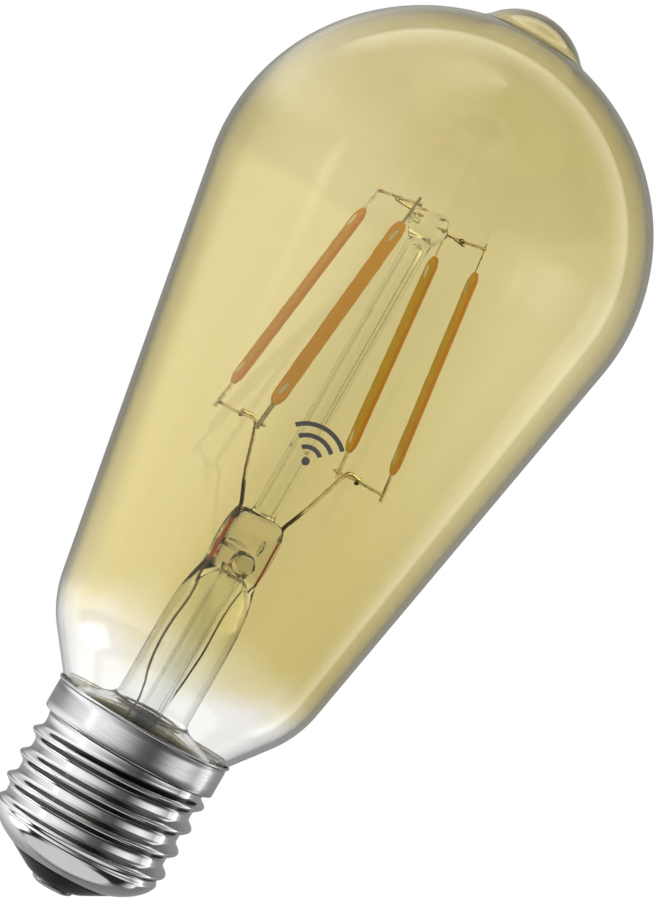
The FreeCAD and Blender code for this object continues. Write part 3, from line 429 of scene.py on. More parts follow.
def moulded(name, light, dark, rough_low, rough_high, scale=500.0):
    """Plain moulded or painted stuff with grain and cloudiness."""
    n, place = material(name)
    cloud = n.noise(place, scale, 3.0, 0.55)
    grain = n.noise(place, scale * 6, 2.0, 0.6)
    colour = n.blend(n.spread(cloud, 0.3, 0.7), light, dark)
    rough = n.spread(grain, 0.3, 0.7, rough_low, rough_high)
    return n.set(Base_Color=colour, Roughness=rough, Normal=n.bump(grain, 0.2, 0.00004))


# two tones and the roughness between which each stuff drifts; a moulded one's grain may follow
METALS = {
    "contact_metal": ((0.42, 0.40, 0.36), (0.22, 0.21, 0.19), 0.2, 0.45),
    "dumet": ((0.70, 0.13, 0.045), (0.45, 0.06, 0.03), 0.25, 0.4),
    "tail_wire": ((0.16, 0.10, 0.06), (0.07, 0.045, 0.03), 0.35, 0.5),
    "terminal_metal": ((0.82, 0.76, 0.60), (0.48, 0.40, 0.26), 0.18, 0.35),
    "copper": ((0.80, 0.36, 0.18), (0.60, 0.24, 0.11), 0.2, 0.35),
    "shield_metal": ((0.70, 0.70, 0.70), (0.55, 0.55, 0.56), 0.25, 0.4),
    "solder": ((0.66, 0.67, 0.68), (0.45, 0.46, 0.47), 0.2, 0.4),
}
MOULDINGS = {
    "cement": ((0.94, 0.93, 0.89), (0.84, 0.83, 0.79), 0.7, 0.95, 900.0),
    "filament_carrier": ((0.70, 0.52, 0.20), (0.55, 0.36, 0.12), 0.4, 0.6, 1500.0),
    "sleeve_plastic": ((0.78, 0.78, 0.75), (0.70, 0.70, 0.67), 0.35, 0.5),
    "board_laminate": ((0.03, 0.16, 0.06), (0.02, 0.11, 0.045), 0.3, 0.45),
    "chip_moulding": ((0.02, 0.02, 0.022), (0.03, 0.03, 0.032), 0.5, 0.7),
    "capacitor_sleeve": ((0.02, 0.025, 0.05), (0.03, 0.035, 0.07), 0.2, 0.35),
    "ferrite": ((0.06, 0.06, 0.065), (0.035, 0.035, 0.04), 0.55, 0.8),
    "resistor_lacquer": ((0.06, 0.16, 0.12), (0.04, 0.11, 0.085), 0.25, 0.4),
    "wire_insulation": ((0.62, 0.60, 0.54), (0.52, 0.50, 0.45), 0.3, 0.45),
}
# the others have a maker each, named after its slot
MAKERS = (amber_glass, clear_glass, cap_metal, black_glass, frame_wire, filament_coating)
MATERIALS = {maker.__name__: maker() for maker in MAKERS}
MATERIALS.update((slot, metal(slot, *look)) for slot, look in METALS.items())
MATERIALS.update((slot, moulded(slot, *look)) for slot, look in MOULDINGS.items())

for entry in frame["record"]["subparts"]:
    node = frame["nodes"][entry["node"]]
    node.data.materials.clear()
    node.data.materials.append(MATERIALS[entry["material_slot"]])
    node.data.shade_smooth()
    node.data.set_sharp_from_angle(angle=math.radians(35))

# ---- glass envelope

WALL = 0.8 * MM
NECK_RADIUS = 12.4 * MM
NECK_CURVE = 2.0 * MM
NECK_CURVE_HEIGHT = 25.0 * MM
FLARE_ANGLE = math.radians(37.6)
HEEL_CURVE = 16.5 * MM
CONE_ANGLE = math.radians(10.3)
SHOULDER_CURVE = 30.0 * MM
DOME_RADIUS = 32.4 * MM
DOME_CENTRE = 104.2 * MM
PIP_FILLET = 5.5 * MM
PIP_RADIUS = 9.5 * MM
CONE_STEPS = 40


def tangent_centre(first, first_push, second, second_push):
    """The point whose distances along two directions are given."""
    spread = first[0] * second[1] - first[1] * second[0]
    return ((first_push * second[1] - second_push * first[1]) / spread,
            (first[0] * second_push - second[0] * first_push) / spread)


def glass_skin(inset):
    """The glass outline this far inside the outer skin, from the neck up to the pip."""
    flare = (math.cos(FLARE_ANGLE), -math.sin(FLARE_ANGLE))
    cone = (math.cos(CONE_ANGLE), -math.sin(CONE_ANGLE))
    hollow = (NECK_RADIUS + NECK_CURVE, NECK_CURVE_HEIGHT)
    side = GLASS_RADIUS - SHOULDER_CURVE
    shoulder = (side, DOME_CENTRE + math.sqrt((DOME_RADIUS - SHOULDER_CURVE) ** 2 - side ** 2))
    to_flare = hollow[0] * flare[0] + hollow[1] * flare[1] - NECK_CURVE - HEEL_CURVE
    to_cone = shoulder[0] * cone[0] + shoulder[1] * cone[1] + SHOULDER_CURVE - HEEL_CURVE
    heel = tangent_centre(flare, to_flare, cone, to_cone)
    pip = (0.0, BULB_TOP - PIP_RADIUS)
    apart = pip[1] - DOME_CENTRE
    reach = DOME_RADIUS + PIP_FILLET
    lift = (reach ** 2 - (PIP_RADIUS + PIP_FILLET) ** 2 + apart ** 2) / (2 * apart)
    fillet = (math.sqrt(reach ** 2 - lift ** 2), DOME_CENTRE + lift)
    to_dome = math.atan2(shoulder[1] - DOME_CENTRE, side)
    to_fillet = math.atan2(lift, fillet[0])
    from_pip = math.atan2(fillet[1] - pip[1], fillet[0])
    points = [(NECK_RADIUS - inset, glass_low.z)]
    points += arc(hollow, NECK_CURVE + inset, math.pi, math.pi - FLARE_ANGLE, 12)
    points += arc(heel, HEEL_CURVE - inset, -FLARE_ANGLE, -CONE_ANGLE, 20)
    cone_start = points[-1]
    bend = arc(shoulder, SHOULDER_CURVE - inset, -CONE_ANGLE, to_dome, 24)
    for k in range(1, CONE_STEPS):
        share = k / CONE_STEPS
        points.append(tuple(a + (b - a) * share for a, b in zip(cone_start, bend[0])))
    points += bend
    points += arc((0.0, DOME_CENTRE), DOME_RADIUS - inset, to_dome, to_fillet, 48)[1:]
    points += arc(fillet, PIP_FILLET + inset, math.pi + to_fillet, math.pi + from_pip, 12)[1:]
    points += arc(pip, PIP_RADIUS - inset, from_pip, math.pi / 2, 30)[1:-1]
    return points + [(0.0, pip[1] + PIP_RADIUS - inset)]


OUTER_SKIN = glass_skin(0.0)
piece("glass_bulb", lathe(OUTER_SKIN + glass_skin(WALL)[::-1], 288), "amber_glass",
      ("glass_envelope",))

# ---- screw cap

THREAD_PITCH = 3.629 * MM
THREAD_CREST = 13.15 * MM
THREAD_ROOT = 12.05 * MM
THREAD_PHASE = 16.75 * MM
COLLAR_RADIUS = 13.25 * MM
COLLAR_BOTTOM = COLLAR_TOP - 4.7 * MM
SHEET = 0.3 * MM
# the collar's outline in mm: radius past COLLAR_RADIUS, height past its bottom and past its top
COLLAR_STEP = [(-0.35, -0.16), (-0.08, -0.03), (0.0, 0.12), (0.0, 1.2)]
COLLAR_LIP = [(0.0, -1.6), (-0.01, -0.80), (-0.13, -0.66), (-0.13, -0.56), (0.10, -0.44),
              (0.224, -0.28), (0.28, -0.14), (0.224, -0.03)]
# the shoulder's outline, radius and height
SHOULDER = in_mm([(8.1, 3.3), (9.6, 4.05), (11.0, 5.0), (12.1, 6.1), (12.72, 7.2)])
THREAD_LOW = SHOULDER[-1][1]
THREAD_HIGH = COLLAR_BOTTOM - 0.35 * MM
THREAD_RUN_IN = 1.6 * MM
THREAD_RUN_OUT = 1.5 * MM
THREAD_END = THREAD_ROOT + 0.1 * MM
CREST_SHARPNESS = 2.3
THREAD_RINGS = 240


def thread_radius(angle, height):
    """Outer radius of the rolled thread: narrow crests, broad hollows, fading at both ends."""
    turn = (height - THREAD_PHASE - THREAD_PITCH * angle / TURN) / THREAD_PITCH
    crest = (0.5 + 0.5 * math.cos(TURN * turn)) ** CREST_SHARPNESS
    low_fade = ramp(height, THREAD_LOW, THREAD_LOW + THREAD_RUN_IN)
    high_fade = 1 - ramp(height, THREAD_HIGH - THREAD_RUN_OUT, THREAD_HIGH)
    rolled = THREAD_ROOT + (THREAD_CREST - THREAD_ROOT) * crest
    blended = rolled * high_fade + THREAD_END * (1 - high_fade)
    return SHOULDER[-1][0] * (1 - low_fade) + blended * low_fade


def shell_levels():
    """Heights of the shell's rings with a function of angle for each radius."""
    levels = [(z, lambda angle, r=radius: r) for radius, z in smooth_line(SHOULDER, 6)]
    for k in range(1, THREAD_RINGS + 1):
        height = THREAD_LOW + (THREAD_HIGH - THREAD_LOW) * k / THREAD_RINGS
        levels.append((height, lambda angle, h=height: thread_radius(angle, h)))
    collar = [(THREAD_ROOT + 0.14 * MM, THREAD_HIGH + 0.06 * MM)]
    for base, outline in ((COLLAR_BOTTOM, COLLAR_STEP), (COLLAR_TOP, COLLAR_LIP)):
        collar += [(COLLAR_RADIUS + r * MM, base + z * MM) for r, z in outline]
    return levels + [(height, lambda angle, r=radius: r) for radius, height in collar]


def screw_shell(steps=320):
    """The rolled sheet: its outside up from the shoulder, and back down one sheet further in."""
    bm = bmesh.new()
    levels = shell_levels()
    rings = []
    for inset, order in ((0.0, levels), (SHEET, levels[::-1])):
        for height, radius in order:
            ring = []
            for i in range(steps):
                angle = TURN * i / steps
                r = radius(angle) - inset
                ring.append(bm.verts.new((r * math.cos(angle), r * math.sin(angle), height)))
            rings.append(ring)
    skin_rings(bm, rings, closed=True)
    return smooth_mesh(bm, 60)


piece("rolled_shell", screw_shell(), "cap_metal", ("screw_shell",))

# the cement squeezed up between neck and collar, radius and height
CEMENT_OUTSIDE = [(12.94, 22.3), (12.94, 25.7), (12.80, 25.92), (12.80, 26.08), (12.98, 26.3)]
CEMENT_CLEARANCE = 0.01 * MM
CEMENT_STEPS = 8
CEMENT_GRAIN = 700
CEMENT_EDGE = (26.0 * MM, 26.3 * MM)
CEMENT_FALL = 0.3 * MM


def cement_loop():
    """The ring's section: up along the glass, where it starts to flare, and down along the sheet."""
    outside = in_mm(CEMENT_OUTSIDE)
    inside = [(NECK_RADIUS + CEMENT_CLEARANCE, outside[0][1])]
    for k in range(CEMENT_STEPS + 1):
        lift = (outside[-1][1] - NECK_CURVE_HEIGHT) * k / CEMENT_STEPS
        hollow = math.sqrt(NECK_CURVE ** 2 - lift ** 2)
        inside.append((NECK_RADIUS + NECK_CURVE - hollow + CEMENT_CLEARANCE, NECK_CURVE_HEIGHT + lift))
    return inside + outside[::-1]


def crumbled(spot):
    """Let the cement's free edge sink unevenly."""
    fall = max(noise.noise(spot * CEMENT_GRAIN), 0.0) * ramp(spot.z, *CEMENT_EDGE)
    return spot - Vector((0, 0, fall * CEMENT_FALL))


piece("cement_ring", lathe(cement_loop(), 180, 60, crumbled), "cement", ("cap_cement",))

# the black cone's section, radius and height
INSULATOR = [(3.30, 0.90), (3.75, 0.92), (4.3, 1.12), (5.2, 1.62), (6.4, 2.32), (7.6, 3.02),
             (8.02, 3.28), (8.02, 3.66), (9.4, 4.9), (9.4, 5.2), (1.35, 5.2), (1.35, 0.90)]
piece("insulator_cone", lathe(in_mm(INSULATOR), 180, 70), "black_glass", ("cap_insulator",))

# the contact button's section, radius and height
CONTACT = [(0.0, 0.16), (0.5, 0.14), (0.95, 0.03), (1.25, 0.0), (2.0, 0.0), (2.55, 0.08),
           (2.95, 0.28), (3.15, 0.55), (3.18, 0.88), (0.0, 0.88)]
SOLDER_GRAIN = 900
SOLDER_LUMPS = 0.04 * MM


def dimpled(spot):
    """Let the solder on the contact's face run a little out of round."""
    return spot + Vector((0, 0, max(noise.noise(spot * SOLDER_GRAIN) * SOLDER_LUMPS, 0.0)))


piece("contact_button", lathe(in_mm(CONTACT), 96, 70, dimpled), "contact_metal",
      ("centre_contact",))

# ---- stem

TUBE_RADIUS = 5.5 * MM
TUBE_WALL = 0.9 * MM
TRUMPET_CURVE = 1.6 * MM
SKIRT_CURVE = 1.3 * MM
SKIRT_WALL = 0.7 * MM
SKIRT_RADIUS = 11.2 * MM
SKIRT_TOP = 26.2 * MM
TUBE_BOTTOM = 28.4 * MM
SKIRT_FOOT = 22.35 * MM
SEAL_HEIGHT = 0.55 * MM
PINCH_START = (44.0 * MM, 50.0 * MM)
PINCH_SQUARE = 0.5
STEM_STEPS = 128
STEM_GRAIN = 420
OUTSIDE_LUMPS = 0.16 * MM
INSIDE_LUMPS = 0.05 * MM
# height and half widths of the seal's rim at the skirt's foot
SEAL = [(21.85, 12.2, 12.2), (22.2, 12.2, 12.2)]
# height, half width and half depth of the straight tube, the pinch and its rounded head
STEM_OUTSIDE = [(34.0, 5.5, 5.5), (38.0, 5.5, 5.5), (43.0, 5.45, 5.3), (45.5, 5.4, 4.4),
                (47.6, 5.2, 3.2), (49.4, 4.85, 2.25), (50.8, 4.75, 1.9), (53.0, 5.0, 1.95),
                (55.0, 5.1, 1.8), (57.0, 4.95, 1.7), (58.3, 4.6, 1.5), (59.1, 3.9, 1.2),
                (59.5, 2.6, 0.8), (59.55, 0.0, 0.0)]
STEM_INSIDE = [(34.0, 4.6, 4.6), (38.0, 4.6, 4.6), (43.0, 4.5, 4.4), (45.5, 4.3, 3.3),
               (47.4, 3.9, 2.2), (49.0, 3.3, 1.6), (50.2, 2.2, 1.2), (50.6, 0.0, 0.0)]


def rounded_corner(before, corner, after, radius, steps=14):
    """The tangent arc in a corner of a profile, as points."""
    into = (Vector(corner) - Vector(before)).normalized()
    out = (Vector(after) - Vector(corner)).normalized()
    turn = into.angle(out)
    reach = radius * math.tan(turn / 2)
    side = Vector((-into.y, into.x)) * (1 if into.cross(out) > 0 else -1)
    start = Vector(corner) - into * reach
    middle = start + side * radius
    return [tuple(middle + (into * math.sin(turn * k / steps) - side * math.cos(turn * k / steps))
                  * radius) for k in range(steps + 1)]


def trumpet_profile(tube, skirt, top, bottom, foot, tube_curve, skirt_curve):
    """Height and half widths from the skirt's foot over the trumpet to the straight tube."""
    corners = [(skirt, foot), (skirt, top), (tube, bottom), (tube, bottom + 4 * MM)]
    points = [corners[0]]
    points += rounded_corner(corners[0], corners[1], corners[2], skirt_curve)
    points += rounded_corner(corners[1], corners[2], corners[3], tube_curve)
    return [(height, radius, radius) for radius, height in points]


def oval_ring(bm, height, wide, deep, flat, lumps):
    """A ring of the stem; flat says how far it is pinched, from a circle to a rounded oblong."""
    if wide <= 0:
        return [bm.verts.new((0, 0, height))]
    ring = []
    power = 2 / (2.0 + PINCH_SQUARE * flat)
    for c, s in around(STEM_STEPS):
        spot = Vector((wide * math.copysign(abs(c) ** power, c),
                       deep * math.copysign(abs(s) ** power, s), height))
        spot += spot.normalized() * noise.noise(spot * STEM_GRAIN) * lumps * flat
        ring.append(bm.verts.new(spot))
    return ring


# centre and half sizes of the hollows in the pinch: the blown vent, a bubble and two folds
BUBBLES = [((0.5, -0.2, 52.2), (2.15, 1.25, 1.75)), ((2.0, -0.1, 55.3), (0.42, 0.6, 1.15)),
           ((-2.3, 0.1, 53.6), (1.5, 0.5, 0.35)), ((-1.6, 0.3, 54.5), (1.6, 0.4, 0.28))]


def stem_mesh():
    """The flare tube with its flat pinch, hollow up to the pinch, with the blown vent in it."""
    bm = bmesh.new()
    rings = []
    slope = math.atan2(TUBE_BOTTOM - SKIRT_TOP, SKIRT_RADIUS - TUBE_RADIUS)
    drop = SKIRT_WALL * math.tan((math.pi / 2 - slope) / 2)
    outside = trumpet_profile(TUBE_RADIUS, SKIRT_RADIUS, SKIRT_TOP, TUBE_BOTTOM, SKIRT_FOOT,
                              TRUMPET_CURVE, SKIRT_CURVE)
    inside = trumpet_profile(TUBE_RADIUS - TUBE_WALL, SKIRT_RADIUS - SKIRT_WALL, SKIRT_TOP - drop,
                             TUBE_BOTTOM - drop, SKIRT_FOOT - SEAL_HEIGHT,
                             TRUMPET_CURVE + SKIRT_WALL, SKIRT_CURVE - SKIRT_WALL)
    for low, table, lumps in ((in_mm(SEAL) + outside, STEM_OUTSIDE, OUTSIDE_LUMPS),
                              (inside, STEM_INSIDE, INSIDE_LUMPS)):
        rings.append([oval_ring(bm, z, max(a, 0.0), max(b, 0.0), ramp(z, *PINCH_START), lumps)
                      for z, a, b in low + smooth_line(in_mm(table), 6)])
    skin_rings(bm, rings[0])
    skin_rings(bm, rings[1])
    skin_rings(bm, [rings[0][0], rings[1][0]])
    for centre, size in BUBBLES:
        centre = Vector(centre) * MM
        egg(bm, centre, Vector(size) * MM, 0.16, 1.6, centre * 900, 20, 32)
    return smooth_mesh(bm, 80)


# the thin trumpet bends light weakly, so that what lies behind it stays clear
stem_skin = stem_mesh()
piece("stem_glass", stem_skin, "clear_glass", ("stem_flare",))
stem_skin.materials.append(clear_glass("trumpet_glass", 1.12))
for face in stem_skin.polygons:
    face.material_index = int(face.center.z < TRUMPET_TOP)

# height and radius of the column with its bead, outside and then down its bore
COLUMN_OUTSIDE = [(59.5, 1.95), (60.1, 1.75), (61.5, 1.68), (66.0, 1.7), (80.0, 1.68), (95.0, 1.7),
                  (102.0, 1.7), (103.6, 1.8), (104.6, 2.25), (105.5, 2.75), (106.6, 2.88),
                  (107.5, 2.6), (108.1, 1.9), (108.4, 0.9), (108.4, 0.0)]
COLUMN_INSIDE = [(103.4, 0.0), (103.0, 0.55), (102.0, 0.85), (95.0, 0.9), (80.0, 0.9),
                 (66.0, 0.88), (61.0, 0.9), (59.6, 0.9)]
BEAD_START = (102 * MM, 106 * MM)
BEAD_GRAIN = 500
BEAD_LUMPS = 0.45 * MM


def melted(spot):
    """Glass drawn by hand: lumpy round the bead, even along the column."""
    lumps = ramp(spot.z, *BEAD_START) * BEAD_LUMPS
    moved = spot + drift_at(spot * BEAD_GRAIN) * lumps
    moved.z = min(moved.z, COLUMN_TOP)
    return moved


column_line = smooth_line(COLUMN_OUTSIDE, 5) + smooth_line(COLUMN_INSIDE, 5)
column_loop = [(max(r, 0.0) * MM, z * MM) for z, r in column_line]
piece("column_glass", lathe(column_loop, 72, 80, melted), "clear_glass", ("support_column",))

# the pump tube's section, radius and height, down its outside from the sealed tip
EXHAUST = [(0.0, 18.75), (0.7, 18.8), (1.35, 19.5), (1.68, 20.8), (1.7, 24.0), (1.66, 34.0),
           (1.7, 44.0), (1.75, 49.0), (2.1, 51.3), (1.2, 51.4), (1.0, 49.0), (1.0, 44.0),
           (0.98, 34.0), (1.0, 24.0), (0.9, 21.2), (0.0, 19.9)]
piece("exhaust_glass", lathe(in_mm(EXHAUST), 64, 80), "clear_glass", ("exhaust_tube",))

# ---- filaments


def axes_of(node_name):
    """Centre and the long, wide and thin directions of a straight part, with its half sizes."""
    points = np.array([v.co for v in frame["nodes"][node_name].data.vertices])
    _, _, rows = np.linalg.svd(points - points.mean(0), full_matrices=False)
    centre = Vector((0, 0, 0))
    halves = []
    axes = [Vector(row).normalized() for row in rows]
    for axis in axes:
        reach = points @ np.array(axis)
        centre += axis * float(reach.max() + reach.min()) / 2
        halves.append(float(reach.max() - reach.min()) / 2)
    if axes[0].z < 0:
        axes[0].negate()
    if axes[2].dot(Vector((centre.x, centre.y, 0))) < 0:
        axes[2].negate()
    axes[1] = axes[0].cross(axes[2])
    return centre, axes, halves


COATING_TIP = 2.3 * MM
COATING_TIP_WIDTH = 0.16
COATING_THIN = 1.6 * MM
COATING_THIN_DEPTH = 0.45
COATING_SQUARE = 0.62
COATING_DRIFT = 0.05 * MM
COATING_LUMPS = 0.035 * MM
COATING_GRAIN = 650
COATING_ROWS = 150


def coating_mesh(name, number):
    """A dispensed bead of phosphor silicone: round-cornered, pointed at both ends, uneven."""
    centre, (along, across, outward), (half_length, half_width, half_depth) = axes_of(name)
    bm = bmesh.new()
    face_layer = bm.verts.layers.float.new("face")
    edge_layer = bm.verts.layers.float.new("edge")
    rings = []
    for k in range(COATING_ROWS + 1):
        share = -1 + 2 * k / COATING_ROWS
        gap = (1 - abs(share)) * half_length
        if k in (0, COATING_ROWS):
            rings.append([bm.verts.new(centre + along * half_length * share)])
            continue
        swell = 1 - (1 - min(gap / COATING_TIP, 1.0)) ** 2
        swell = COATING_TIP_WIDTH + (1 - COATING_TIP_WIDTH) * math.sqrt(max(swell, 0.0))
        thick = COATING_THIN_DEPTH + (1 - COATING_THIN_DEPTH) * ramp(gap, 0.0, COATING_THIN)
        drift = noise.noise(Vector((share * 9, number * 7.3, 0))) * COATING_DRIFT
        ring = []
        for c, s in around(40):
            wide = half_width * swell * math.copysign(abs(c) ** COATING_SQUARE, c)
            deep = half_depth * thick * math.copysign(abs(s) ** COATING_SQUARE, s)
            spot = centre + along * half_length * share + across * (wide + drift) + outward * deep
            spot += (across * c + outward * s) * noise.noise(spot * COATING_GRAIN) * COATING_LUMPS
            vert = bm.verts.new(spot)
            vert[face_layer] = 0.5 + 0.5 * max(min(s * 3, 1), -1)
            vert[edge_layer] = ramp(abs(c), 0.80, 0.94)
            ring.append(vert)
        rings.append(ring)
    skin_rings(bm, rings)
    return smooth_mesh(bm, 80)


WINDOW_PLACE = 2.5 * MM
WINDOW_LENGTH = 1.05 * MM
WINDOW_WIDTH = 0.26 * MM
WINDOW_LEAN = 0.12 * MM
WINDOW_DEPTH = 0.12 * MM
WINDOW_RIM = 0.015 * MM
WINDOW_TOP = 0.03 * MM


def window_mesh(name, number):
    """The bright strip ends that show through near both ends of a filament, on both faces."""
    centre, (along, across, outward), (half_length, _, half_depth) = axes_of(name)
    bm = bmesh.new()
    for end, side in ((-1, -1), (-1, 1), (1, -1), (1, 1)):
        middle = centre + along * end * (half_length - WINDOW_PLACE)
        base, rim, top = [outward * side * (half_depth + lift)
                          for lift in (-WINDOW_DEPTH, WINDOW_RIM, WINDOW_TOP)]
        rims = [[], []]
        for c, s in around(26):
            wobble = 1 + 0.25 * noise.noise(Vector((c * 2, s * 2, number * 3.1 + end + side * 5)))
            spot = (middle + along * s * WINDOW_LENGTH * wobble + across * c * WINDOW_WIDTH * wobble
                    + across * s * WINDOW_LEAN)
            rims[0].append(bm.verts.new(spot + base))
            rims[1].append(bm.verts.new(spot + rim))
        tops = bm.verts.new(middle + top)
        skin_rings(bm, [[bm.verts.new(middle + base)], rims[0], rims[1], [tops]])
    return smooth_mesh(bm, 50)


pale_end = strip_end()
for number in range(1, 5):
    coated = "led_filament_%d" % number
    piece("coating_%d" % number, coating_mesh(coated, number), "filament_coating", (coated,))
    piece("windows_%d" % number, window_mesh(coated, number), "terminal_metal", (), pale_end)

# ---- wires


def ends_along(node_name, axis):
    """The middle of a straight wire's two end faces."""
    low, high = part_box(node_name)
    middle = (low + high) / 2
    first, last = middle.copy(), middle.copy()
    first[axis], last[axis] = low[axis], high[axis]
    return first, last


def bent_line(first, last, sag, seed, count=40):
    """A nearly straight wire with small hand-made kinks."""
    points = []
    for k in range(count + 1):
        share = k / count
        kink = drift_at(Vector((share * 3.2, seed * 5.7, 0.3))) * sag
        points.append(first.lerp(last, share) + kink * math.sin(math.pi * share))
    return points


def pinched(radius, spots, squeeze=0.35, width=0.05):
    """Radius along a wire that swells at its weld spots and tapers at the cut ends."""
    def at(share):
        swell = sum(math.exp(-((share - spot) / width) ** 2) for spot in spots)
        ends = min(1.0, 0.55 + 12 * min(share, 1 - share))
        return radius * (1 + squeeze * swell) * ends
    return at


def wire(name, node_name, path, radius_at, roughness, seed, slot="frame_wire"):
    """A wire piece in the place of one CAD wire."""
    piece(name, tube_mesh(path, radius_at, roughness, seed), slot, (node_name,))


BAR_RADIUS = 0.225 * MM
BAR_WELD = 0.9 * MM
BAR_SAG = 0.22 * MM
ROD_SAG = 0.18 * MM
for level in ("top", "bottom"):
    for order, (side, _) in enumerate(SIDES):
        node_name = "%s_crossbar_%s" % (level, side)
        first, last = ends_along(node_name, 1)
        near = BAR_WELD / (last - first).length
        wire("bar_" + node_name, node_name, bent_line(first, last, BAR_SAG, order + len(level)),
             pinched(BAR_RADIUS * 0.88, (near, 0.5, 1 - near), 0.42, 0.035), 0.3, order * 11.0)

for order, (side, _) in enumerate(SIDES):
    node_name = "top_support_wire_" + side
    first, last = ends_along(node_name, 0)
    wire("rod_" + node_name, node_name, bent_line(first, last, ROD_SAG, order + 20),
         pinched(BAR_RADIUS * 0.9, (0.12, 0.9), 0.35, 0.05), 0.35, order * 5.0)

LEAD_RADIUS = 0.31 * MM
# out, sideways and up in mm from where a lead leaves the pinch; in, sideways and down from its end
LEAD_RISE = [(0.0, 0.0, -0.9), (0.15, 0.0, 0.2), (0.75, 0.0, 1.4), (2.2, 0.1, 4.4)]
LEAD_BEND = [(3.6, 0.0, 1.9), (2.9, 0.0, 0.5), (2.1, 0.1, 0.0), (0.8, 0.0, 0.1), (0.0, 0.0, 0.1)]
for order, (side, sign) in enumerate(SIDES):
    node_name = "upper_lead_" + side
    low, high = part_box(node_name)
    inner = sign * (min(abs(low.x), abs(high.x)) + LEAD_RADIUS)
    outer = sign * (max(abs(low.x), abs(high.x)) - 0.1 * MM)
    top = high.z - LEAD_RADIUS
    control = [(inner, 0, low.z)]
    control += [(inner + sign * x * MM, y * MM, PRESS_TOP + z * MM) for x, y, z in LEAD_RISE]
    control += [(outer - sign * x * MM, y * MM, top - z * MM) for x, y, z in LEAD_BEND]
    wire("lead_" + side, node_name, smooth_line(control, 8),
         pinched(LEAD_RADIUS * 0.93, (0.12, 0.97), 0.3, 0.03), 0.12, order * 3.0)


# the thin wires down to the driver, bent by hand: off the axis and height, top to bottom
TAIL_LEFT = [(-4.15, 50.4), (-4.15, 49.0), (-3.8, 45.3), (-4.25, 40.7), (-4.3, 36.9),
             (-3.9, 33.5), (-3.05, 30.6), (-2.75, 28.5), (-3.2, 26.7), (-2.95, 23.5)]
TAIL_RIGHT = [(4.15, 50.4), (3.6, 49.2), (2.8, 46.4), (2.75, 43.5), (2.9, 39.3),
              (2.7, 36.2), (2.4, 33.2), (1.85, 29.6), (1.7, 26.4), (2.1, 23.0)]
TAIL_RADIUS = 0.15 * MM
for order, ((side, _), table) in enumerate(zip(SIDES, (TAIL_LEFT, TAIL_RIGHT))):
    node_name = "lower_lead_" + side
    control = [(x * MM, 0, z * MM) for x, z in table]
    control.append((table[-1][0] * MM, 0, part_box(node_name)[0].z))
    wire("tail_" + side, node_name, smooth_line(control, 8),
         pinched(TAIL_RADIUS, (0.02, 0.98), 0.2, 0.02), 0.1, order * 2.0, "tail_wire")


def knot(bm, centre, size, seed):
    """One weld or knot: a lumpy bead."""
    egg(bm, Vector(centre), Vector((size, size, size)), 0.45, 1.9, Vector((seed, 0, 0)), 10, 16)


def knots_mesh():
    """Weld knots: lead to seal wire in the pinch, leads and filaments to the cross bars."""
    bm = bmesh.new()
    seed = 0
    for side, sign in SIDES:
        seal_low, seal_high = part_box("dumet_seal_" + side)
        x = (seal_low.x + seal_high.x) / 2
        for spot, size in (((x, 0, seal_high.z + 0.35 * MM), 0.46), ((x, 0.1 * MM, seal_high.z), 0.38),
                           ((x + sign * 0.2 * MM, 0, seal_high.z + 0.9 * MM), 0.36),
                           ((x, 0, seal_low.z + 0.1 * MM), 0.26)):
            seed += 1.7
            knot(bm, spot, size * MM, seed)
        for level in ("top", "bottom"):
            first, last = ends_along("%s_crossbar_%s" % (level, side), 1)
            middle = (first + last) / 2
            seed += 1.3
            knot(bm, middle + Vector((-sign * 0.12 * MM, 0.2 * MM, -0.1 * MM)), 0.36 * MM, seed)
    return smooth_mesh(bm, 80)


piece("weld_knots", knots_mesh(), "frame_wire", (),
      metal("weld_dark", (0.16, 0.12, 0.07), (0.06, 0.045, 0.03), 0.3, 0.5))

# ---- printed mark

MARK_HEIGHT = 68.5 * MM
MARK_ANGLE = math.radians(-122.5)
MARK_FACES = (-0.03 * MM, 0.03 * MM)
MARK_ARCS = (1.9 * MM, 3.4 * MM, 4.9 * MM)
MARK_HALF_LINE = 0.3 * MM
MARK_DOT = 0.55 * MM
MARK_STEPS = 28


def cone_spot(angle, height, off):
    """A point this far off the outer skin of the glass."""
    for (r0, z0), (r1, z1) in zip(OUTER_SKIN, OUTER_SKIN[1:]):
        if z0 <= height <= z1:
            radius = r0 + (r1 - r0) * (height - z0) / (z1 - z0) + off
            return Vector((radius * math.cos(angle), radius * math.sin(angle), height))


def mark_mesh():
    """A plain radio-wave sign: a dot under three arcs, printed on the glass."""
    bm = bmesh.new()
    base = cone_spot(MARK_ANGLE, MARK_HEIGHT, 0.0)
    reach = math.hypot(base.x, base.y)

    def on_glass(u, v, off):
        return bm.verts.new(cone_spot(MARK_ANGLE + u / reach, MARK_HEIGHT + v, off))

    low, high = MARK_FACES
    for radius in MARK_ARCS:
        rings = []
        for k in range(MARK_STEPS + 1):
            angle = math.radians(45 + 90 * k / MARK_STEPS)
            c, s = math.cos(angle), math.sin(angle)
            inner, outer = radius - MARK_HALF_LINE, radius + MARK_HALF_LINE
            rings.append([on_glass(r * c, r * s, off) for r, off in (
                (inner, low), (outer, low), (outer, high), (inner, high))])
        skin_rings(bm, rings)
        bm.faces.new(rings[0])
        bm.faces.new(rings[-1])
    rims = [[on_glass(MARK_DOT * c, MARK_DOT * s, off) for c, s in around(MARK_STEPS)]
            for off in MARK_FACES]
    ends = [[on_glass(0, 0, off)] for off in MARK_FACES]
    skin_rings(bm, [ends[0], rims[0], rims[1], ends[1]])
    return smooth_mesh(bm)


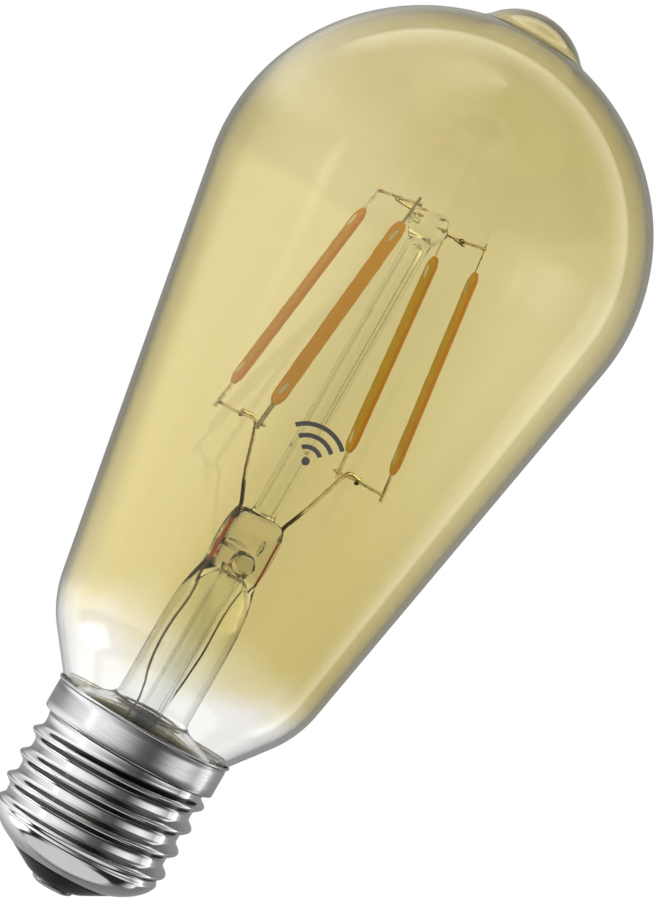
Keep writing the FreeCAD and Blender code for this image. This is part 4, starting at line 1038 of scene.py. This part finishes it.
ink = moulded("print_ink", (0.055, 0.05, 0.04), (0.08, 0.075, 0.06), 0.5, 0.7, 2500.0)
piece("printed_mark", mark_mesh(), "chip_moulding", (), ink)

# ---- camera

CAMERA_AZIMUTH = math.radians(-36.0)
CAMERA_ELEVATION = math.radians(-1.75)
CAMERA_ROLL = math.radians(29.76)
CAMERA_DISTANCE = 390 * MM
CAMERA_LENS = 111.5
AIM_HEIGHT = 72.3 * MM
AIM_SIDE = 3.9 * MM

backward = Vector((math.sin(CAMERA_AZIMUTH) * math.cos(CAMERA_ELEVATION),
                   -math.cos(CAMERA_AZIMUTH) * math.cos(CAMERA_ELEVATION),
                   math.sin(CAMERA_ELEVATION)))
level_right = Vector((math.cos(CAMERA_AZIMUTH), math.sin(CAMERA_AZIMUTH), 0))
level_up = backward.cross(level_right)
view_right = level_right * math.cos(CAMERA_ROLL) + level_up * math.sin(CAMERA_ROLL)
view_up = backward.cross(view_right)
aim = level_right * AIM_SIDE + Vector((0, 0, AIM_HEIGHT))
camera_data = bpy.data.cameras.new("camera")
camera_data.lens = CAMERA_LENS
camera_data.sensor_width = 36.0
camera_data.clip_start = 0.01
camera = bpy.data.objects.new("camera", camera_data)
pose = Matrix((view_right, view_up, backward)).transposed().to_4x4()
pose.translation = aim + backward * CAMERA_DISTANCE
camera.matrix_world = pose
scene.collection.objects.link(camera)
scene.camera = camera

# ---- stage and light

scene.view_settings.view_transform = "Standard"
scene.view_settings.look = "None"


FLOOR_RADIUS = 6.0
WHITE = (1.0, 1.0, 1.0, 1.0)


def floor():
    """A light table under the lamp, of an even white that needs no lamp."""
    n = Nodes(bpy.data.materials.new("floor_white"))
    glow = n.add("ShaderNodeEmission", {"Color": WHITE, "Strength": 1.0})
    n.put(n.tree.nodes["Material Output"].inputs["Surface"], glow.outputs[0])
    bm = bmesh.new()
    bmesh.ops.create_circle(bm, cap_ends=True, radius=FLOOR_RADIUS, segments=96)
    mesh = bpy.data.meshes.new("floor")
    bm.to_mesh(mesh)
    bm.free()
    mesh.materials.append(n.owner)
    made = bpy.data.objects.new("floor", mesh)
    scene.collection.objects.link(made)
    made.visible_glossy = made.visible_transmission = False


CURVE_LIMIT = 6.0


def curve_of(n, angle, stops):
    """Brightness by angle: straight lines between stops of degrees and value."""
    low, high = stops[0][0], stops[-1][0]
    share = n.spread(angle, math.radians(low), math.radians(high))
    node = n.add("ShaderNodeFloatCurve", {"Value": share})
    curve = node.mapping.curves[0]
    node.mapping.clip_max_y = CURVE_LIMIT
    points = [((at - low) / (high - low), value) for at, value in stops]
    curve.points[0].location = points[0]
    curve.points[-1].location = points[-1]
    for x, y in points[1:-1]:
        curve.points.new(x, y)
    for point in curve.points:
        point.handle_type = "VECTOR"
    node.mapping.update()
    return node.outputs[0]


def studio_world():
    """White backdrop straight on and through glass; softboxes and dark gaps for what mirrors them.

    The studio is laid out round the axis of the camera that the scene is made for: 'back' is
    toward that camera, 'right' is level and square to it. Walls have a brightness by azimuth, one
    for level directions and one for slanting ones.
    """
    world = bpy.data.worlds.new("studio")
    scene.world = world
    n = Nodes(world)
    n.tree.nodes.clear()
    place = n.add("ShaderNodeTexCoord").outputs["Generated"]

    def along(vector):
        node = n.add("ShaderNodeVectorMath", {0: place, 1: tuple(vector)}, operation="DOT_PRODUCT")
        return node.outputs["Value"]

    def within(angle, low, high, ease):
        """1 between two angles in degrees, eased to 0 over the given degrees outside them."""
        rise = n.soft(angle, math.radians(low - ease), math.radians(low))
        fall = n.soft(angle, math.radians(high), math.radians(high + ease), 1.0, 0.0)
        return n.times(rise, fall)

    back, right, up = along(backward), along(level_right), along(level_up)
    azimuth = n.math("ARCTAN2", right, back)
    height = n.math("ARCSINE", up)
    level_wall = curve_of(n, azimuth, [
        (-180, 0.35), (-150, 0.32), (-122, 0.34), (-104, 0.7), (-86, 1.1), (-63, 1.35),
        (-60, 2.4), (-57, 2.4), (-54, 1.4), (-36, 1.35), (-16, 1.0), (0, 0.55), (14, 0.16),
        (30, 0.10), (42, 0.35), (56, 1.0), (72, 1.4), (84, 1.1), (98, 0.65), (100, 1.2),
        (104, 1.2), (107, 0.9), (123, 0.7), (132, 0.4), (150, 0.35), (180, 0.35)])
    slant_wall = curve_of(n, azimuth, [
        (-180, 0.4), (-165, 0.5), (-145, 0.9), (-120, 1.4), (-85, 1.6), (-55, 1.4), (-36, 1.0),
        (-16, 0.5), (4, 0.2), (30, 0.08), (60, 0.15), (95, 0.25), (120, 0.25), (150, 0.3),
        (180, 0.35)])
    lift = curve_of(n, height, [
        (-90, 0.8), (-30, 0.9), (-22, 1.0), (-12, 1.0), (22, 1.1), (30, 0.9), (42, 0.7),
        (60, 0.8), (90, 1.0)])
    walls = n.mixed(within(height, -5, 6, 12), n.times(slant_wall, lift), level_wall)
    # the floor under the lamp, bright on the camera's side; a dark gap above it draws the thread
    below = n.soft(height, math.radians(-60), math.radians(-50), 1.0, 0.0)
    front = n.soft(back, -0.56, -0.42)
    walls = n.mixed(below, walls, n.spread(front, 0.0, 1.0, 0.12, 0.85))
    gap = n.times(within(height, -54, -29, 5), n.soft(back, -0.5, -0.2))
    room = n.mixed(gap, walls, 0.03)
    # a sharp-edged bright ring along the glass's outline and a window on its neck
    side = n.math("ARCTAN2", right, up)
    ring = n.times(n.soft(back, -0.505, -0.490), n.spread(back, -0.49, -0.20, 1.3, 0.0))
    ring = n.times(ring, within(side, -40, 128, 16))
    window = n.times(within(azimuth, -112, -84, 12), within(height, -46, -38, 6))
    lamps = n.math("ADD", ring, n.times(window, 3.2))
    path = n.add("ShaderNodeLightPath")
    near = n.math("LESS_THAN", path.outputs["Transmission Depth"], 3.5)
    # the fill lamp lights only inner and far walls, so that the filaments stay saturated
    fill = n.times(within(azimuth, 45, 120, 40), within(height, 12, 60, 8))
    lamps = n.mixed(near, n.times(fill, 2.8), lamps)
    # light mirrored twice between the threads is weak
    passed = path.outputs["Transmission Depth"]
    twice = n.times(n.math("GREATER_THAN", path.outputs["Glossy Depth"], 1.5),
                    n.math("LESS_THAN", passed, 0.5))
    glow = n.times(n.math("ADD", room, lamps), n.spread(twice, 0.0, 1.0, 1.0, 0.15))
    studio = n.add("ShaderNodeBackground", {"Color": WHITE, "Strength": glow})
    white = n.add("ShaderNodeBackground", {"Color": WHITE, "Strength": 1.0})
    # what is mirrored deep inside the glass stem sees mostly the white backdrop
    mirrored = n.times(n.math("GREATER_THAN", path.outputs["Glossy Depth"], 0.5),
                       n.spread(n.math("LESS_THAN", passed, 5.5), 0.0, 1.0, 0.38, 1.0))
    mix = n.add("ShaderNodeMixShader", {0: mirrored, 1: white.outputs[0], 2: studio.outputs[0]})
    n.add("ShaderNodeOutputWorld", {"Surface": mix.outputs[0]})


floor()
studio_world()
